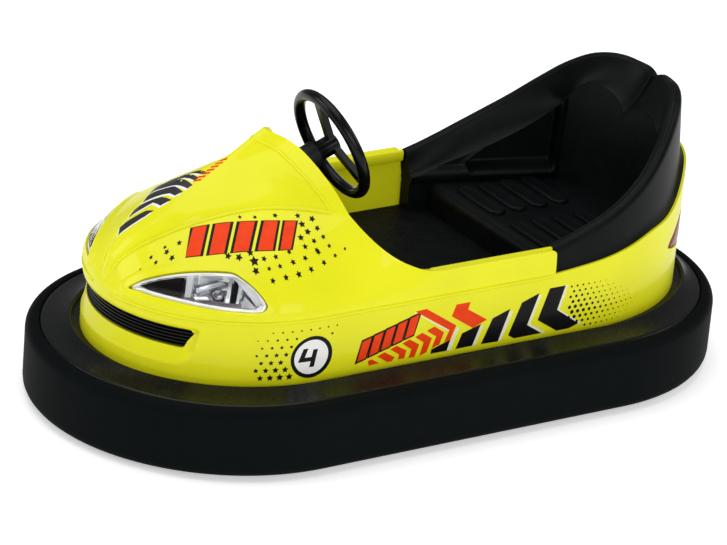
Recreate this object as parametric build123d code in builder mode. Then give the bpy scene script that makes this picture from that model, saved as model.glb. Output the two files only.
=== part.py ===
from build123d import *
import os
from math import cos, radians, sin

# Small die-cast toy bumper car. Millimetres, +X to the nose, +Y to the driver's left, +Z up,
# origin on the floor under the middle of the rubber ring.

# ---------------------------------------------------------------- driving dimensions
LENGTH = 120.0              # over the rubber ring
WIDTH = 63.0
RING_BOTTOM = 0.6           # clearance under the ring
RING_TOP = 11.9
RING_WALL = 2.2             # rubber thickness seen from above
RING_ROUND_TOP = 1.5
RING_ROUND_BOTTOM = 1.8
RING_HOOK = 3.2             # inward lip under the chassis
RING_HOOK_HEIGHT = 1.0

FIT = 0.05                  # clearance between pieces that sit in each other
DECK_SKIRT = 1.5            # thickness of the deck's outer wall
DECK_SKIN = 1.3
DECK_EDGE_DROP = 0.1        # deck's outer edge below the ring's top
DECK_HEIGHT = 3.4           # height of the deck's outer wall
DECK_SHOULDER_OUT = 1.7     # shoulder crest, outside the body's outline
DECK_SHOULDER_TOP = 12.9
DECK_SHOULDER_ROUND = 0.35
DECK_LEDGE_TOP = 11.9       # the body stands on this ledge
DECK_LEDGE_IN = 4.0         # ledge width inside the body's outline
DECK_TROUGH = 0.9           # trough width outside the body's outline

PAN_SKIN = 1.4
PAN_WALL = 1.4

NOSE_X = 51.7               # body outline: two half ellipses joined by straight sides
TAIL_X = -54.3
BODY_HALF = 23.4
NOSE_RUN = 25.6             # length of the front half ellipse
TAIL_RUN = 28.8
WALL = 1.5                  # die-cast wall
BELT = 22.2                 # height of the crease round the body
BODY_LAP = 1.0              # how far inner cuts start below the belt

# Hood as two stacks of level outlines. Columns: height, nose tip x, x where the nose round starts,
# half width there, half width at the back.
FENDER_LEVELS = (
    (22.2, 51.7, 26.1, 23.4, 23.4),
    (25.0, 50.9, 25.0, 22.7, 23.3),
    (28.0, 49.5, 10.0, 21.3, 22.4),
    (31.0, 47.3, 2.0, 19.0, 19.8),
    (34.0, 43.8, 0.0, 15.8, 16.5),
)
BONNET_LEVELS = (
    (22.2, 51.3, 30.0, 9.0, 15.0),
    (34.0, 43.8, 26.0, 9.3, 24.0),
    (36.0, 41.3, 26.0, 8.6, 25.0),
    (38.4, 37.8, 27.0, 4.8, 25.5),
    (41.0, 30.2, 24.0, 3.2, 22.5),
    (43.4, 26.3, 22.0, 2.2, 17.5),
    (44.8, 24.3, 20.5, 1.8, 15.0),
)
RIDGE_MIN = 0.3             # least half width and nose run of an inner level outline
HOOD_BACK = -2.0            # the level outlines' straight back, inside the cockpit

SILL = 26.9
SILL_LIP = 1.9              # deeper lip along the top of the cockpit side
SILL_LIP_IN = 0.7
COCKPIT_BACK = -17.4        # front ends of the black collar
SIDE_LAP = 3.0              # the plain cockpit sides reach this far into the hood
SWEEP_START = 4.0           # where the sill begins to rise into the cowl
SWEEP_END = (17.0, 34.9)
COWL_SIDE = (18.9, 40.0)
COWL_BEND = (21.2, 43.4)
COWL_PEAK = (24.2, 44.8)

LEDGE_FRONT = 22.7          # lower edge of the collar: a line, then an arc up the tail
LEDGE_MID = (-31.0, 24.3)
LEDGE_BACK = (-55.5, 39.0)
COLLAR_STEP = 0.4           # collar face inside the body's face at the ledge
COLLAR_LEAN = 1.9           # further inward lean up to the lobes' tops
RIM_FRONT = 26.9            # top edge of the collar, as arcs in the side view
RIM_CHAMFER = (1.0, 0.35)   # the rim's front end runs on downward past the cockpit's back
RIM_MID = (-31.2, 31.8)
RIM_BEND = (-45.0, 41.8)
LOBE_TOP = (-49.4, 44.4)
RIM_BACK = (-54.5, 41.4)
NOTCH_HALF = 2.6
NOTCH_BOTTOM = 41.8
TUB_TOP = 48.0
RIM_WALL = 2.0
STEP_DROP = 3.6             # inner step below the rim
STEP_BEND = (-45.2, 38.0)   # where the inner step turns up into the slope behind the back panel
STEP_BACK = (-50.4, 43.0)

FLOOR = 17.0                # footwell floor
TUB_SKIN = 1.2
TUB_FIT = 0.3               # tub inside the die-cast wall
SEAT_FRONT = -20.5
SEAT_TOP = 21.9
SEAT_PAD_RISE = 0.6
SEAT_PAD = (12.0, 3.0)      # across, along
SEAT_PAD_START = 2.2        # first pad behind the seat's front
SEAT_PAD_PITCH = 4.2
SEAT_PAD_GAP = 3.6          # middle strip between the two groups
SEAT_PAD_ROWS = 4
SEAT_SIDE_FRONT = 18.4      # half width of the bucket at the seat's front
SEAT_SIDE_BACK = 12.6       # half width at the back corners
SEAT_CORNER_X = -41.8
SEAT_BACK_X = -44.2
BUCKET_SPREAD = 2.6         # how much wider the bucket is at the tub's top
BUCKET_RAKE = 2.4           # how far the back leans
POCKET_LOW = 23.5           # armrest pocket in each side wall: a triangle
POCKET_HIGH = 37.0
POCKET_START = 6.6          # along the wall, from the seat's front
POCKET_END = 21.2
POCKET_DEPTH = 1.9
POCKET_ROUND = 1.2
DASH_X = 20.0
DASH_TOP = 41.0
DASH_SKIN = 1.2
DASH_WIDTH = 44.0
DASH_FIT = 0.2              # dash inside the die-cast wall

GRILLE_TOP = 20.5
GRILLE_BOTTOM = 17.2
GRILLE_HALF = 16.7
GRILLE_DEPTH = 0.6          # depth of the grooves between the ribs
GRILLE_BACK = 0.9           # grille plate behind the wall's inner face
GRILLE_FLANGE = 0.8         # plate beyond the slot, behind the wall
GRILLE_RIBS = 6
RIB_SHARE = 0.6             # rib height as a share of its pitch
RIB_RECESS = 0.15           # rib faces behind the paint
RIB_LAP = 0.15              # ribs into their plate
SCOOP_BOTTOM = 14.6         # sloping lip under the grille
SCOOP_DEPTH = 0.8

# headlamp outline in its own plane, from the front tip: x along the lamp, y up the slope
LAMP_TIP = (50.2, 6.0, 24.4)
LAMP_ALONG = (-0.72, 0.69)
LAMP_TILT = 45.0
LAMP_TOP = (9.5, 3.8)
LAMP_TOP_REAR = (16.8, 4.6)
LAMP_REAR = (21.2, -0.4)
LAMP_LOW = (9.6, -2.3)
LAMP_REACH = (-5.0, 6.0)    # the prism's ends below and above the lamp's plane
LAMP_SET = 0.25             # lens face below the paint
LENS_SKIN = 0.7
LAMP_DEPTH = 2.6
LAMP_RIM = 0.7              # rim and floor of the reflector

# tail lamp outline on the tail wall, from its front tip: x along the wall, y up
TAIL_LAMP_TIP = (-43.4, 18.1, 21.2)
TAIL_LAMP_ALONG = (-0.68, -0.735)
TAIL_LAMP_TOP = (4.5, 4.6)
TAIL_LAMP_TOP_REAR = (11.0, 6.2)
TAIL_LAMP_REAR = (12.6, 2.0)
TAIL_LAMP_LOW = (6.0, -1.3)
TAIL_LAMP_REACH = (-3.0, 6.0)
TAIL_LAMP_BACK = 0.2        # lens behind the wall's inner face

WHEEL_CENTRE = (11.4, 40.3)     # steering wheel, x and z
WHEEL_TILT = 67.6               # rim plane from the horizontal
WHEEL_RIM_R = 8.7
WHEEL_TUBE_R = 0.95
HUB_R = 1.6
HUB_FRONT = 0.8                 # hub's driver end in front of the rim's plane
HUB_LENGTH = 3.8
HUB_ROUND = 0.4
COLUMN_R = 2.1
COLUMN_GAP = 0.15               # between the hub and the column
STEM_R = 1.1
STEM_LAP = 0.2                  # stem's start inside the hub
STEM_SHORT = 2.0                # stem's end short of the column's end
BORE_SHORT = 1.0
SPOKES = 3
SPOKE_WIDTH = 1.5
SPOKE_THICK = 1.0

AXLE_R = 0.9
AXLE_SHORT = 0.5                # axle's end inside the wheel's outer face
AXLE_RUN = 0.06                 # running clearance of the axles
FRONT_AXLE_X = 31.0
REAR_AXLE_X = -31.0
ROAD_WHEEL_R = 4.8
ROAD_WHEEL_WIDTH = 4.2
ROAD_WHEEL_ROUND = 0.5
HUBCAP_DEPTH = 0.8
TYRE_WALL = 1.4
BOSS_WALL = 0.9
TRACK = 37.0                    # between the wheels' middles
WHEEL_WELL_GAP = 0.9
BEARING_Y = 12.0                # bearing walls of the front axle
BEARING = (5.0, 1.6, 6.0)       # length, thickness, height
BEARING_LAP = 0.2
MOTOR = (19.0, 21.0, 9.5)       # length, width, height
MOTOR_CHAMFER = 0.8

CLEAR = 1.0                     # how far cutters stand past a face
REACH = 200.0                   # size of the cutting boxes

os.makedirs("parts", exist_ok=True)

pan_bottom = RING_BOTTOM + RING_HOOK_HEIGHT + FIT
nose_centre = NOSE_X - NOSE_RUN
tail_centre = TAIL_X + TAIL_RUN
deck_inset = RING_WALL + FIT
deck_edge = RING_TOP - DECK_EDGE_DROP
deck_bottom = deck_edge - DECK_HEIGHT
side_front = SWEEP_START + SIDE_LAP
lens_inner = LAMP_SET + LENS_SKIN
tub_inset = WALL + TUB_FIT


def export(part, name):
    part.label = name
    export_step(part, f"parts/{name}.step")


def outline(inset):
    """Body outline drawn inward by inset, as an open context's edges."""
    half = BODY_HALF - inset
    EllipticalCenterArc((nose_centre, 0), NOSE_RUN - inset, half, -90, arc_size=180)
    Line((nose_centre, half), (tail_centre, half))
    EllipticalCenterArc((tail_centre, 0), TAIL_RUN - inset, half, 90, arc_size=180)
    Line((tail_centre, -half), (nose_centre, -half))


def body_slab(inset, bottom, top):
    """Prism of the body outline between two heights."""
    with BuildPart() as slab:
        with BuildSketch(Plane.XY.offset(bottom)):
            with BuildLine():
                outline(inset)
            make_face()
        extrude(amount=top - bottom)
    return slab.part


def body_taper(inset_low, low, inset_high, high):
    """Loft of the body outline that leans in with height."""
    with BuildPart() as taper:
        for inset, level in ((inset_low, low), (inset_high, high)):
            with BuildSketch(Plane.XY.offset(level)):
                with BuildLine():
                    outline(inset)
                make_face()
        loft(ruled=True)
    return taper.part


def behind(x, part):
    """Part cut off in front of the plane at x."""
    with BuildPart() as kept:
        add(part)
        with Locations((x, 0, 0)):
            Box(REACH, REACH, REACH, align=(Align.MIN, Align.CENTER, Align.CENTER), mode=Mode.SUBTRACT)
    return kept.part


def within(half, part):
    """Part kept in front of the nose ellipse's middle, within half a width of the centre plane."""
    with BuildPart() as kept:
        add(part)
        with Locations((nose_centre, 0, 0)):
            Box(REACH, 2 * half, REACH, align=(Align.MIN, Align.CENTER, Align.CENTER), mode=Mode.INTERSECT)
    return kept.part


def side_cut(draw):
    """Prism across the car of a profile drawn in the XZ plane."""
    with BuildPart() as cut:
        with BuildSketch(Plane.XZ):
            with BuildLine():
                draw()
            make_face()
        extrude(amount=WIDTH, both=True)
    return cut.part


def stadium(inset, bottom, top):
    """Prism of the ring's outline drawn inward by inset."""
    with BuildPart() as slab:
        with BuildSketch(Plane.XY.offset(bottom)):
            SlotOverall(LENGTH - 2 * inset, WIDTH - 2 * inset)
        extrude(amount=top - bottom)
    return slab.part


def hood_stack(levels, inset):
    """Loft through level outlines: a straight back, straight sides and an elliptical nose."""
    with BuildPart() as stack:
        for level, tip, centre, half, half_back in levels:
            with BuildSketch(Plane.XY.offset(level - inset)):
                with BuildLine():
                    nose_run = max(tip - centre - inset, RIDGE_MIN)
                    front = max(half - inset, RIDGE_MIN)
                    EllipticalCenterArc((centre, 0), nose_run, front, -90, arc_size=180)
                    Line((centre, front), (HOOD_BACK, half_back - inset))
                    Line((HOOD_BACK, half_back - inset), (HOOD_BACK, inset - half_back))
                    Line((HOOD_BACK, inset - half_back), (centre, -front))
                make_face()
        loft(ruled=True)
    return stack.part


def hood(inset):
    """Hood solid with its faces drawn in by inset."""
    with BuildPart() as whole:
        add(hood_stack(FENDER_LEVELS, inset))
        add(hood_stack(BONNET_LEVELS, inset))
    return whole.part


def hood_skin(outer, inner, keep):
    """Layer of the hood between two insets, inside the solid keep."""
    with BuildPart() as skin:
        add(hood(outer))
        add(hood(inner), mode=Mode.SUBTRACT)
        add(keep, mode=Mode.INTERSECT)
    return skin.part


def above_opening():
    """Side profile of everything cut away over the cockpit."""
    Line((COCKPIT_BACK, REACH), (COCKPIT_BACK, SILL))
    Line((COCKPIT_BACK, SILL), (SWEEP_START, SILL))
    TangentArc((SWEEP_START, SILL), SWEEP_END, tangent=(1, 0))
    Line(SWEEP_END, COWL_SIDE)
    ThreePointArc(COWL_SIDE, COWL_BEND, COWL_PEAK)
    Line(COWL_PEAK, (COWL_PEAK[0], REACH))
    Line((COWL_PEAK[0], REACH), (COCKPIT_BACK, REACH))


def above_ledge():
    """Side profile of everything over the lower edge of the collar."""
    Line((COCKPIT_BACK, REACH), (COCKPIT_BACK, LEDGE_FRONT))
    Line((COCKPIT_BACK, LEDGE_FRONT), LEDGE_MID)
    run = (LEDGE_MID[0] - COCKPIT_BACK, LEDGE_MID[1] - LEDGE_FRONT)
    TangentArc(LEDGE_MID, LEDGE_BACK, tangent=run)
    Line(LEDGE_BACK, (-LENGTH, LEDGE_BACK[1]))
    Line((-LENGTH, LEDGE_BACK[1]), (-LENGTH, REACH))
    Line((-LENGTH, REACH), (COCKPIT_BACK, REACH))


def above_rim():
    """Side profile of everything over the collar's top edge."""
    start_x = COCKPIT_BACK + RIM_CHAMFER[0]
    start_z = RIM_FRONT - RIM_CHAMFER[1]
    Line((start_x, REACH), (start_x, start_z))
    Line((start_x, start_z), (COCKPIT_BACK, RIM_FRONT))
    ThreePointArc((COCKPIT_BACK, RIM_FRONT), RIM_MID, RIM_BEND)
    ThreePointArc(RIM_BEND, LOBE_TOP, RIM_BACK)
    Line(RIM_BACK, (-LENGTH, RIM_BACK[1]))
    Line((-LENGTH, RIM_BACK[1]), (-LENGTH, REACH))
    Line((-LENGTH, REACH), (start_x, REACH))


def above_step():
    """Side profile of everything over the step inside the rim, which slopes up at the tail."""
    start_x = COCKPIT_BACK + RIM_CHAMFER[0]
    start_z = RIM_FRONT - RIM_CHAMFER[1] - STEP_DROP
    Line((start_x, REACH), (start_x, start_z))
    Line((start_x, start_z), (COCKPIT_BACK, RIM_FRONT - STEP_DROP))
    ThreePointArc((COCKPIT_BACK, RIM_FRONT - STEP_DROP), (RIM_MID[0], RIM_MID[1] - STEP_DROP), STEP_BEND)
    Line(STEP_BEND, STEP_BACK)
    Line(STEP_BACK, (-LENGTH, STEP_BACK[1]))
    Line((-LENGTH, STEP_BACK[1]), (-LENGTH, REACH))
    Line((-LENGTH, REACH), (start_x, REACH))


def front_band(inset_out, inset_in, bottom, top, half):
    """Stretch of wall round the nose, between two insets of the body's outline."""
    with BuildPart() as band:
        add(body_slab(inset_out, bottom, top))
        add(body_slab(inset_in, bottom - CLEAR, top + CLEAR), mode=Mode.SUBTRACT)
    return within(half, band.part)


def scoop():
    """Wedge cut under the grille: flush at its bottom, deepest at the grille."""
    with BuildPart() as wedge:
        add(body_slab(-CLEAR, SCOOP_BOTTOM, GRILLE_BOTTOM))
        add(body_taper(0, SCOOP_BOTTOM - FIT, SCOOP_DEPTH, GRILLE_BOTTOM + FIT), mode=Mode.SUBTRACT)
    return within(GRILLE_HALF, wedge.part)


def almond(side, top, top_rear, rear, low):
    """Pointed lamp outline from its front tip at the origin; mirrored in y for side -1."""
    ThreePointArc((0, 0), (top[0], side * top[1]), (top_rear[0], side * top_rear[1]))
    Line((top_rear[0], side * top_rear[1]), (rear[0], side * rear[1]))
    ThreePointArc((rear[0], side * rear[1]), (low[0], side * low[1]), (0, 0))


def lamp_prism(side, shrink):
    """Almond prism square to the fender, side +1 left or -1 right."""
    along = Vector(LAMP_ALONG[0], side * LAMP_ALONG[1], 0)
    out = Vector(LAMP_ALONG[1], -side * LAMP_ALONG[0], 0)
    normal = out * cos(radians(LAMP_TILT)) + Vector(0, 0, 1) * sin(radians(LAMP_TILT))
    place = Plane(Vector(LAMP_TIP[0], side * LAMP_TIP[1], LAMP_TIP[2]), x_dir=along, z_dir=normal)
    with BuildPart() as prism:
        with BuildSketch(place.offset(LAMP_REACH[0])):
            with BuildLine():
                almond(side, LAMP_TOP, LAMP_TOP_REAR, LAMP_REAR, LAMP_LOW)
            make_face()
            if shrink:
                offset(amount=-shrink, kind=Kind.INTERSECTION)
        extrude(amount=LAMP_REACH[1] - LAMP_REACH[0])
    return prism.part


def tail_prism(side, shrink):
    """Prism of the tail lamp's outline, square to the tail wall."""
    along = Vector(TAIL_LAMP_ALONG[0], side * TAIL_LAMP_ALONG[1], 0)
    out = Vector(TAIL_LAMP_ALONG[1], -side * TAIL_LAMP_ALONG[0], 0)
    tip = Vector(TAIL_LAMP_TIP[0], side * TAIL_LAMP_TIP[1], TAIL_LAMP_TIP[2])
    with BuildPart() as prism:
        with BuildSketch(Plane(tip, x_dir=along, z_dir=out).offset(TAIL_LAMP_REACH[0])):
            with BuildLine():
                almond(-side, TAIL_LAMP_TOP, TAIL_LAMP_TOP_REAR, TAIL_LAMP_REAR, TAIL_LAMP_LOW)
            make_face()
            if shrink:
                offset(amount=-shrink, kind=Kind.INTERSECTION)
        extrude(amount=TAIL_LAMP_REACH[1] - TAIL_LAMP_REACH[0])
    return prism.part


def bucket_outline(spread, rake):
    """Plan of the seat bucket, open to the footwell, with corners at the back."""
    front_half = SEAT_SIDE_FRONT + spread
    back_half = SEAT_SIDE_BACK + spread / 2
    corner_x = SEAT_CORNER_X - rake
    Polyline((-SEAT_FRONT, front_half), (SEAT_FRONT, front_half), (corner_x, back_half))
    ThreePointArc((corner_x, back_half), (SEAT_BACK_X - rake, 0), (corner_x, -back_half))
    Polyline((corner_x, -back_half), (SEAT_FRONT, -front_half), (-SEAT_FRONT, -front_half),
             (-SEAT_FRONT, front_half))


def bucket():
    """Room inside the seat's walls, wider at the top."""
    with BuildPart() as room:
        for level, spread, rake in ((SEAT_TOP, 0, 0), (TUB_TOP, BUCKET_SPREAD, BUCKET_RAKE)):
            with BuildSketch(Plane.XY.offset(level)):
                with BuildLine():
                    bucket_outline(spread, rake)
                make_face()
        loft(ruled=True)
    return room.part


def pocket(side):
    """Armrest pocket in a side wall of the bucket: a rounded triangle pressed outward."""
    wall = Vector(SEAT_CORNER_X - SEAT_FRONT, side * (SEAT_SIDE_BACK - SEAT_SIDE_FRONT), 0).normalized()
    out = Vector(-wall.Y, wall.X, 0) * -side
    place = Plane(Vector(SEAT_FRONT, side * SEAT_SIDE_FRONT, 0), x_dir=wall, z_dir=out)
    up = 1 if place.y_dir.Z > 0 else -1
    with BuildPart() as recess:
        with BuildSketch(place.offset(-POCKET_DEPTH)):
            with BuildLine():
                Polyline((POCKET_START, up * POCKET_LOW), (POCKET_END, up * POCKET_LOW),
                         (POCKET_END, up * POCKET_HIGH), close=True)
            make_face()
            fillet(vertices(), POCKET_ROUND)
        extrude(amount=2 * POCKET_DEPTH)
    return recess.part


opening_cut = side_cut(above_opening)
ledge_cut = side_cut(above_ledge)
rim_cut = side_cut(above_rim)

# ---------------------------------------------------------------- rubber ring
with BuildPart() as bumper_ring:
    with BuildSketch(Plane.XY.offset(RING_BOTTOM)):
        SlotOverall(LENGTH, WIDTH)
    extrude(amount=RING_TOP - RING_BOTTOM)
    fillet(bumper_ring.edges().group_by(Axis.Z)[-1], RING_ROUND_TOP)
    fillet(bumper_ring.edges().group_by(Axis.Z)[0], RING_ROUND_BOTTOM)
    add(stadium(RING_WALL, RING_BOTTOM + RING_HOOK_HEIGHT, RING_TOP + CLEAR), mode=Mode.SUBTRACT)
    add(stadium(RING_WALL + RING_HOOK, RING_BOTTOM - CLEAR, RING_TOP), mode=Mode.SUBTRACT)
export(bumper_ring.part, "bumper_ring")

# ---------------------------------------------------------------- deck round the body
with BuildPart() as deck:
    with BuildSketch(Plane.XY.offset(deck_edge)):
        SlotOverall(LENGTH - 2 * deck_inset, WIDTH - 2 * deck_inset)
    with BuildSketch(Plane.XY.offset(DECK_SHOULDER_TOP)):
        with BuildLine():
            outline(-DECK_SHOULDER_OUT)
        make_face()
    loft(ruled=True)
    fillet(deck.edges().group_by(Axis.Z)[-1], DECK_SHOULDER_ROUND)
    add(stadium(deck_inset, deck_bottom, deck_edge))
    add(body_slab(-DECK_TROUGH, DECK_LEDGE_TOP, DECK_SHOULDER_TOP + CLEAR), mode=Mode.SUBTRACT)
    add(body_slab(DECK_LEDGE_IN, 0, DECK_SHOULDER_TOP + CLEAR), mode=Mode.SUBTRACT)
    add(stadium(deck_inset + DECK_SKIRT, 0, RING_TOP - DECK_SKIN), mode=Mode.SUBTRACT)
export(deck.part, "deck")

# ---------------------------------------------------------------- chassis pan
with BuildPart() as chassis_pan:
    add(stadium(deck_inset, pan_bottom, deck_bottom - FIT))
    add(stadium(deck_inset + PAN_WALL, pan_bottom + PAN_SKIN, deck_bottom + CLEAR), mode=Mode.SUBTRACT)
    for axle_x in (FRONT_AXLE_X, REAR_AXLE_X):
        for side in (1, -1):
            with Locations((axle_x, side * TRACK / 2, pan_bottom)):
                Box(2 * (ROAD_WHEEL_R + WHEEL_WELL_GAP), ROAD_WHEEL_WIDTH + 2 * WHEEL_WELL_GAP,
                    2 * (PAN_SKIN + CLEAR), mode=Mode.SUBTRACT)
    with Locations((REAR_AXLE_X, 0, pan_bottom)):
        Box(MOTOR[0] + 2 * FIT, MOTOR[1] + 2 * FIT, 2 * (PAN_SKIN + CLEAR), mode=Mode.SUBTRACT)
    # bearing walls that carry the front axle
    for side in (1, -1):
        with Locations((FRONT_AXLE_X, side * BEARING_Y, pan_bottom + PAN_SKIN - BEARING_LAP)):
            Box(*BEARING, align=(Align.CENTER, Align.CENTER, Align.MIN))
    with Locations(Plane((FRONT_AXLE_X, 0, ROAD_WHEEL_R), x_dir=(1, 0, 0), z_dir=(0, 1, 0))):
        Cylinder(AXLE_R + AXLE_RUN, 2 * (BEARING_Y + BEARING[1]), mode=Mode.SUBTRACT)
export(chassis_pan.part, "chassis_pan")

# ---------------------------------------------------------------- pull-back motor block
with BuildPart() as motor_block:
    with Locations((REAR_AXLE_X, 0, pan_bottom)):
        Box(*MOTOR, align=(Align.CENTER, Align.CENTER, Align.MIN))
    chamfer(motor_block.edges().filter_by(Axis.Z), MOTOR_CHAMFER)
    with Locations(Plane((REAR_AXLE_X, 0, ROAD_WHEEL_R), x_dir=(1, 0, 0), z_dir=(0, 1, 0))):
        Cylinder(AXLE_R + AXLE_RUN, MOTOR[1] + CLEAR, mode=Mode.SUBTRACT)
export(motor_block.part, "motor_block")

# ---------------------------------------------------------------- axles and road wheels
ROAD_WHEELS = (("front", FRONT_AXLE_X), ("rear", REAR_AXLE_X))
for place, axle_x in ROAD_WHEELS:
    with BuildPart() as axle:
        with Locations(Plane((axle_x, 0, ROAD_WHEEL_R), x_dir=(1, 0, 0), z_dir=(0, 1, 0))):
            Cylinder(AXLE_R, TRACK + ROAD_WHEEL_WIDTH - 2 * AXLE_SHORT)
    export(axle.part, f"{place}_axle")
    for side, hand in ((1, "left"), (-1, "right")):
        spot = Plane((axle_x, side * TRACK / 2, ROAD_WHEEL_R), x_dir=(1, 0, 0), z_dir=(0, side, 0))
        with BuildPart() as road_wheel:
            with BuildSketch(spot.offset(-ROAD_WHEEL_WIDTH / 2)):
                Circle(ROAD_WHEEL_R)
            extrude(amount=ROAD_WHEEL_WIDTH)
            fillet(road_wheel.edges().filter_by(GeomType.CIRCLE), ROAD_WHEEL_ROUND)
            with BuildSketch(spot.offset(ROAD_WHEEL_WIDTH / 2 - HUBCAP_DEPTH)):
                Circle(ROAD_WHEEL_R - TYRE_WALL)
                Circle(AXLE_R + BOSS_WALL, mode=Mode.SUBTRACT)
            extrude(amount=HUBCAP_DEPTH + CLEAR, mode=Mode.SUBTRACT)
            with BuildSketch(spot.offset(-ROAD_WHEEL_WIDTH / 2)):
                Circle(AXLE_R)
            extrude(amount=ROAD_WHEEL_WIDTH - AXLE_SHORT, mode=Mode.SUBTRACT)
        export(road_wheel.part, f"{place}_wheel_{hand}")

# ---------------------------------------------------------------- body shell
with BuildPart() as body_shell:
    add(hood(0))
    add(body_slab(0, DECK_LEDGE_TOP, BELT))
    add(behind(side_front, body_slab(0, BELT, LEDGE_BACK[1])))
    add(opening_cut, mode=Mode.SUBTRACT)
    add(ledge_cut, mode=Mode.SUBTRACT)
    add(body_slab(WALL, 0, BELT), mode=Mode.SUBTRACT)
    add(hood(WALL), mode=Mode.SUBTRACT)
    add(behind(side_front, body_slab(WALL, BELT - BODY_LAP, SILL - SILL_LIP)), mode=Mode.SUBTRACT)
    add(behind(side_front, body_slab(WALL + SILL_LIP_IN, BELT - BODY_LAP, TUB_TOP)), mode=Mode.SUBTRACT)
    add(behind(COCKPIT_BACK, body_slab(WALL, BELT - BODY_LAP, TUB_TOP)), mode=Mode.SUBTRACT)
    add(front_band(-CLEAR, WALL + CLEAR, GRILLE_BOTTOM, GRILLE_TOP, GRILLE_HALF), mode=Mode.SUBTRACT)
    add(scoop(), mode=Mode.SUBTRACT)
    for side in (1, -1):
        add(lamp_prism(side, 0), mode=Mode.SUBTRACT)
        add(tail_prism(side, 0), mode=Mode.SUBTRACT)
export(body_shell.part, "body_shell")

# ---------------------------------------------------------------- grille
plate_back = WALL + GRILLE_BACK
plate_half = GRILLE_HALF - FIT
rib_pitch = (GRILLE_TOP - GRILLE_BOTTOM) / GRILLE_RIBS
with BuildPart() as grille:
    add(front_band(GRILLE_DEPTH, plate_back, GRILLE_BOTTOM + FIT, GRILLE_TOP - FIT, plate_half))
    add(front_band(WALL + FIT, plate_back, GRILLE_BOTTOM - GRILLE_FLANGE, GRILLE_TOP + GRILLE_FLANGE,
                   GRILLE_HALF + GRILLE_FLANGE))
    for rib in range(GRILLE_RIBS):
        low = GRILLE_BOTTOM + (rib + (1 - RIB_SHARE) / 2) * rib_pitch
        add(front_band(RIB_RECESS, GRILLE_DEPTH + RIB_LAP, low, low + RIB_SHARE * rib_pitch, plate_half))
export(grille.part, "grille")

# ---------------------------------------------------------------- lamps
for side, hand in ((1, "left"), (-1, "right")):
    lamp_hole = lamp_prism(side, FIT)
    export(hood_skin(LAMP_SET, lens_inner, lamp_hole), f"headlamp_lens_{hand}")
    dish = hood_skin(lens_inner, lens_inner + LAMP_DEPTH - LAMP_RIM, lamp_prism(side, LAMP_RIM))
    with BuildPart() as reflector:
        add(hood_skin(lens_inner + FIT, lens_inner + LAMP_DEPTH, lamp_hole))
        add(dish, mode=Mode.SUBTRACT)
    export(reflector.part, f"headlamp_reflector_{hand}")
    with BuildPart() as tail_lamp:
        add(body_slab(LAMP_SET, DECK_SHOULDER_TOP, LEDGE_BACK[1]))
        add(body_slab(WALL + TAIL_LAMP_BACK, 0, TUB_TOP), mode=Mode.SUBTRACT)
        add(tail_prism(side, FIT), mode=Mode.INTERSECT)
    export(tail_lamp.part, f"tail_lamp_{hand}")

# ---------------------------------------------------------------- seat tub with its collar
with BuildPart() as band_cut:
    add(body_taper(COLLAR_STEP + RIM_WALL, BELT, COLLAR_STEP + COLLAR_LEAN + RIM_WALL, TUB_TOP))
    add(side_cut(above_step), mode=Mode.INTERSECT)

tub_front = COCKPIT_BACK - FIT
tub_floor_end = DASH_X + DASH_SKIN
pads_length = SEAT_PAD_PITCH * (SEAT_PAD_ROWS - 1) + SEAT_PAD[1]
with BuildPart() as seat_tub:
    add(body_taper(COLLAR_STEP, BELT, COLLAR_STEP + COLLAR_LEAN, TUB_TOP))
    add(ledge_cut, mode=Mode.INTERSECT)
    add(behind(tub_front, body_slab(tub_inset, FLOOR - TUB_SKIN, TUB_TOP)))
    with Locations((tub_front, 0, 0)):
        Box(REACH, REACH, REACH, align=(Align.MIN, Align.CENTER, Align.CENTER), mode=Mode.SUBTRACT)
    add(rim_cut, mode=Mode.SUBTRACT)
    add(band_cut.part, mode=Mode.SUBTRACT)
    add(bucket(), mode=Mode.SUBTRACT)
    for side in (1, -1):
        add(pocket(side), mode=Mode.SUBTRACT)
    # footwell in front of the seat, and the hollow under it
    with Locations((SEAT_FRONT, 0, FLOOR)):
        Box(REACH, 2 * SEAT_SIDE_FRONT, TUB_TOP, align=(Align.MIN, Align.CENTER, Align.MIN),
            mode=Mode.SUBTRACT)
    add(behind(SEAT_FRONT - TUB_SKIN, body_slab(tub_inset + TUB_SKIN, 0, SEAT_TOP - TUB_SKIN)),
        mode=Mode.SUBTRACT)
    with BuildSketch(Plane.XY.offset(FLOOR - TUB_SKIN)):
        with BuildLine():
            outline(tub_inset)
        make_face()
        with Locations((SEAT_FRONT - TUB_SKIN, 0)):
            Rectangle(tub_floor_end - SEAT_FRONT + TUB_SKIN, WIDTH, align=(Align.MIN, Align.CENTER),
                      mode=Mode.INTERSECT)
    extrude(amount=TUB_SKIN)
    # raised pads
    with BuildSketch(Plane.XY.offset(SEAT_TOP - FIT)):
        with Locations((SEAT_FRONT - SEAT_PAD_START - pads_length / 2, 0)):
            with GridLocations(SEAT_PAD_PITCH, SEAT_PAD[0] + SEAT_PAD_GAP, SEAT_PAD_ROWS, 2):
                SlotOverall(SEAT_PAD[0], SEAT_PAD[1], rotation=90)
    extrude(amount=SEAT_PAD_RISE + FIT)
    # cusp between the two lobes
    with Locations(Plane((TAIL_X, 0, NOTCH_BOTTOM + NOTCH_HALF), x_dir=(0, 1, 0), z_dir=(1, 0, 0))):
        Cylinder(NOTCH_HALF, WIDTH / 2, mode=Mode.SUBTRACT)
export(seat_tub.part, "seat_tub")

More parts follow.
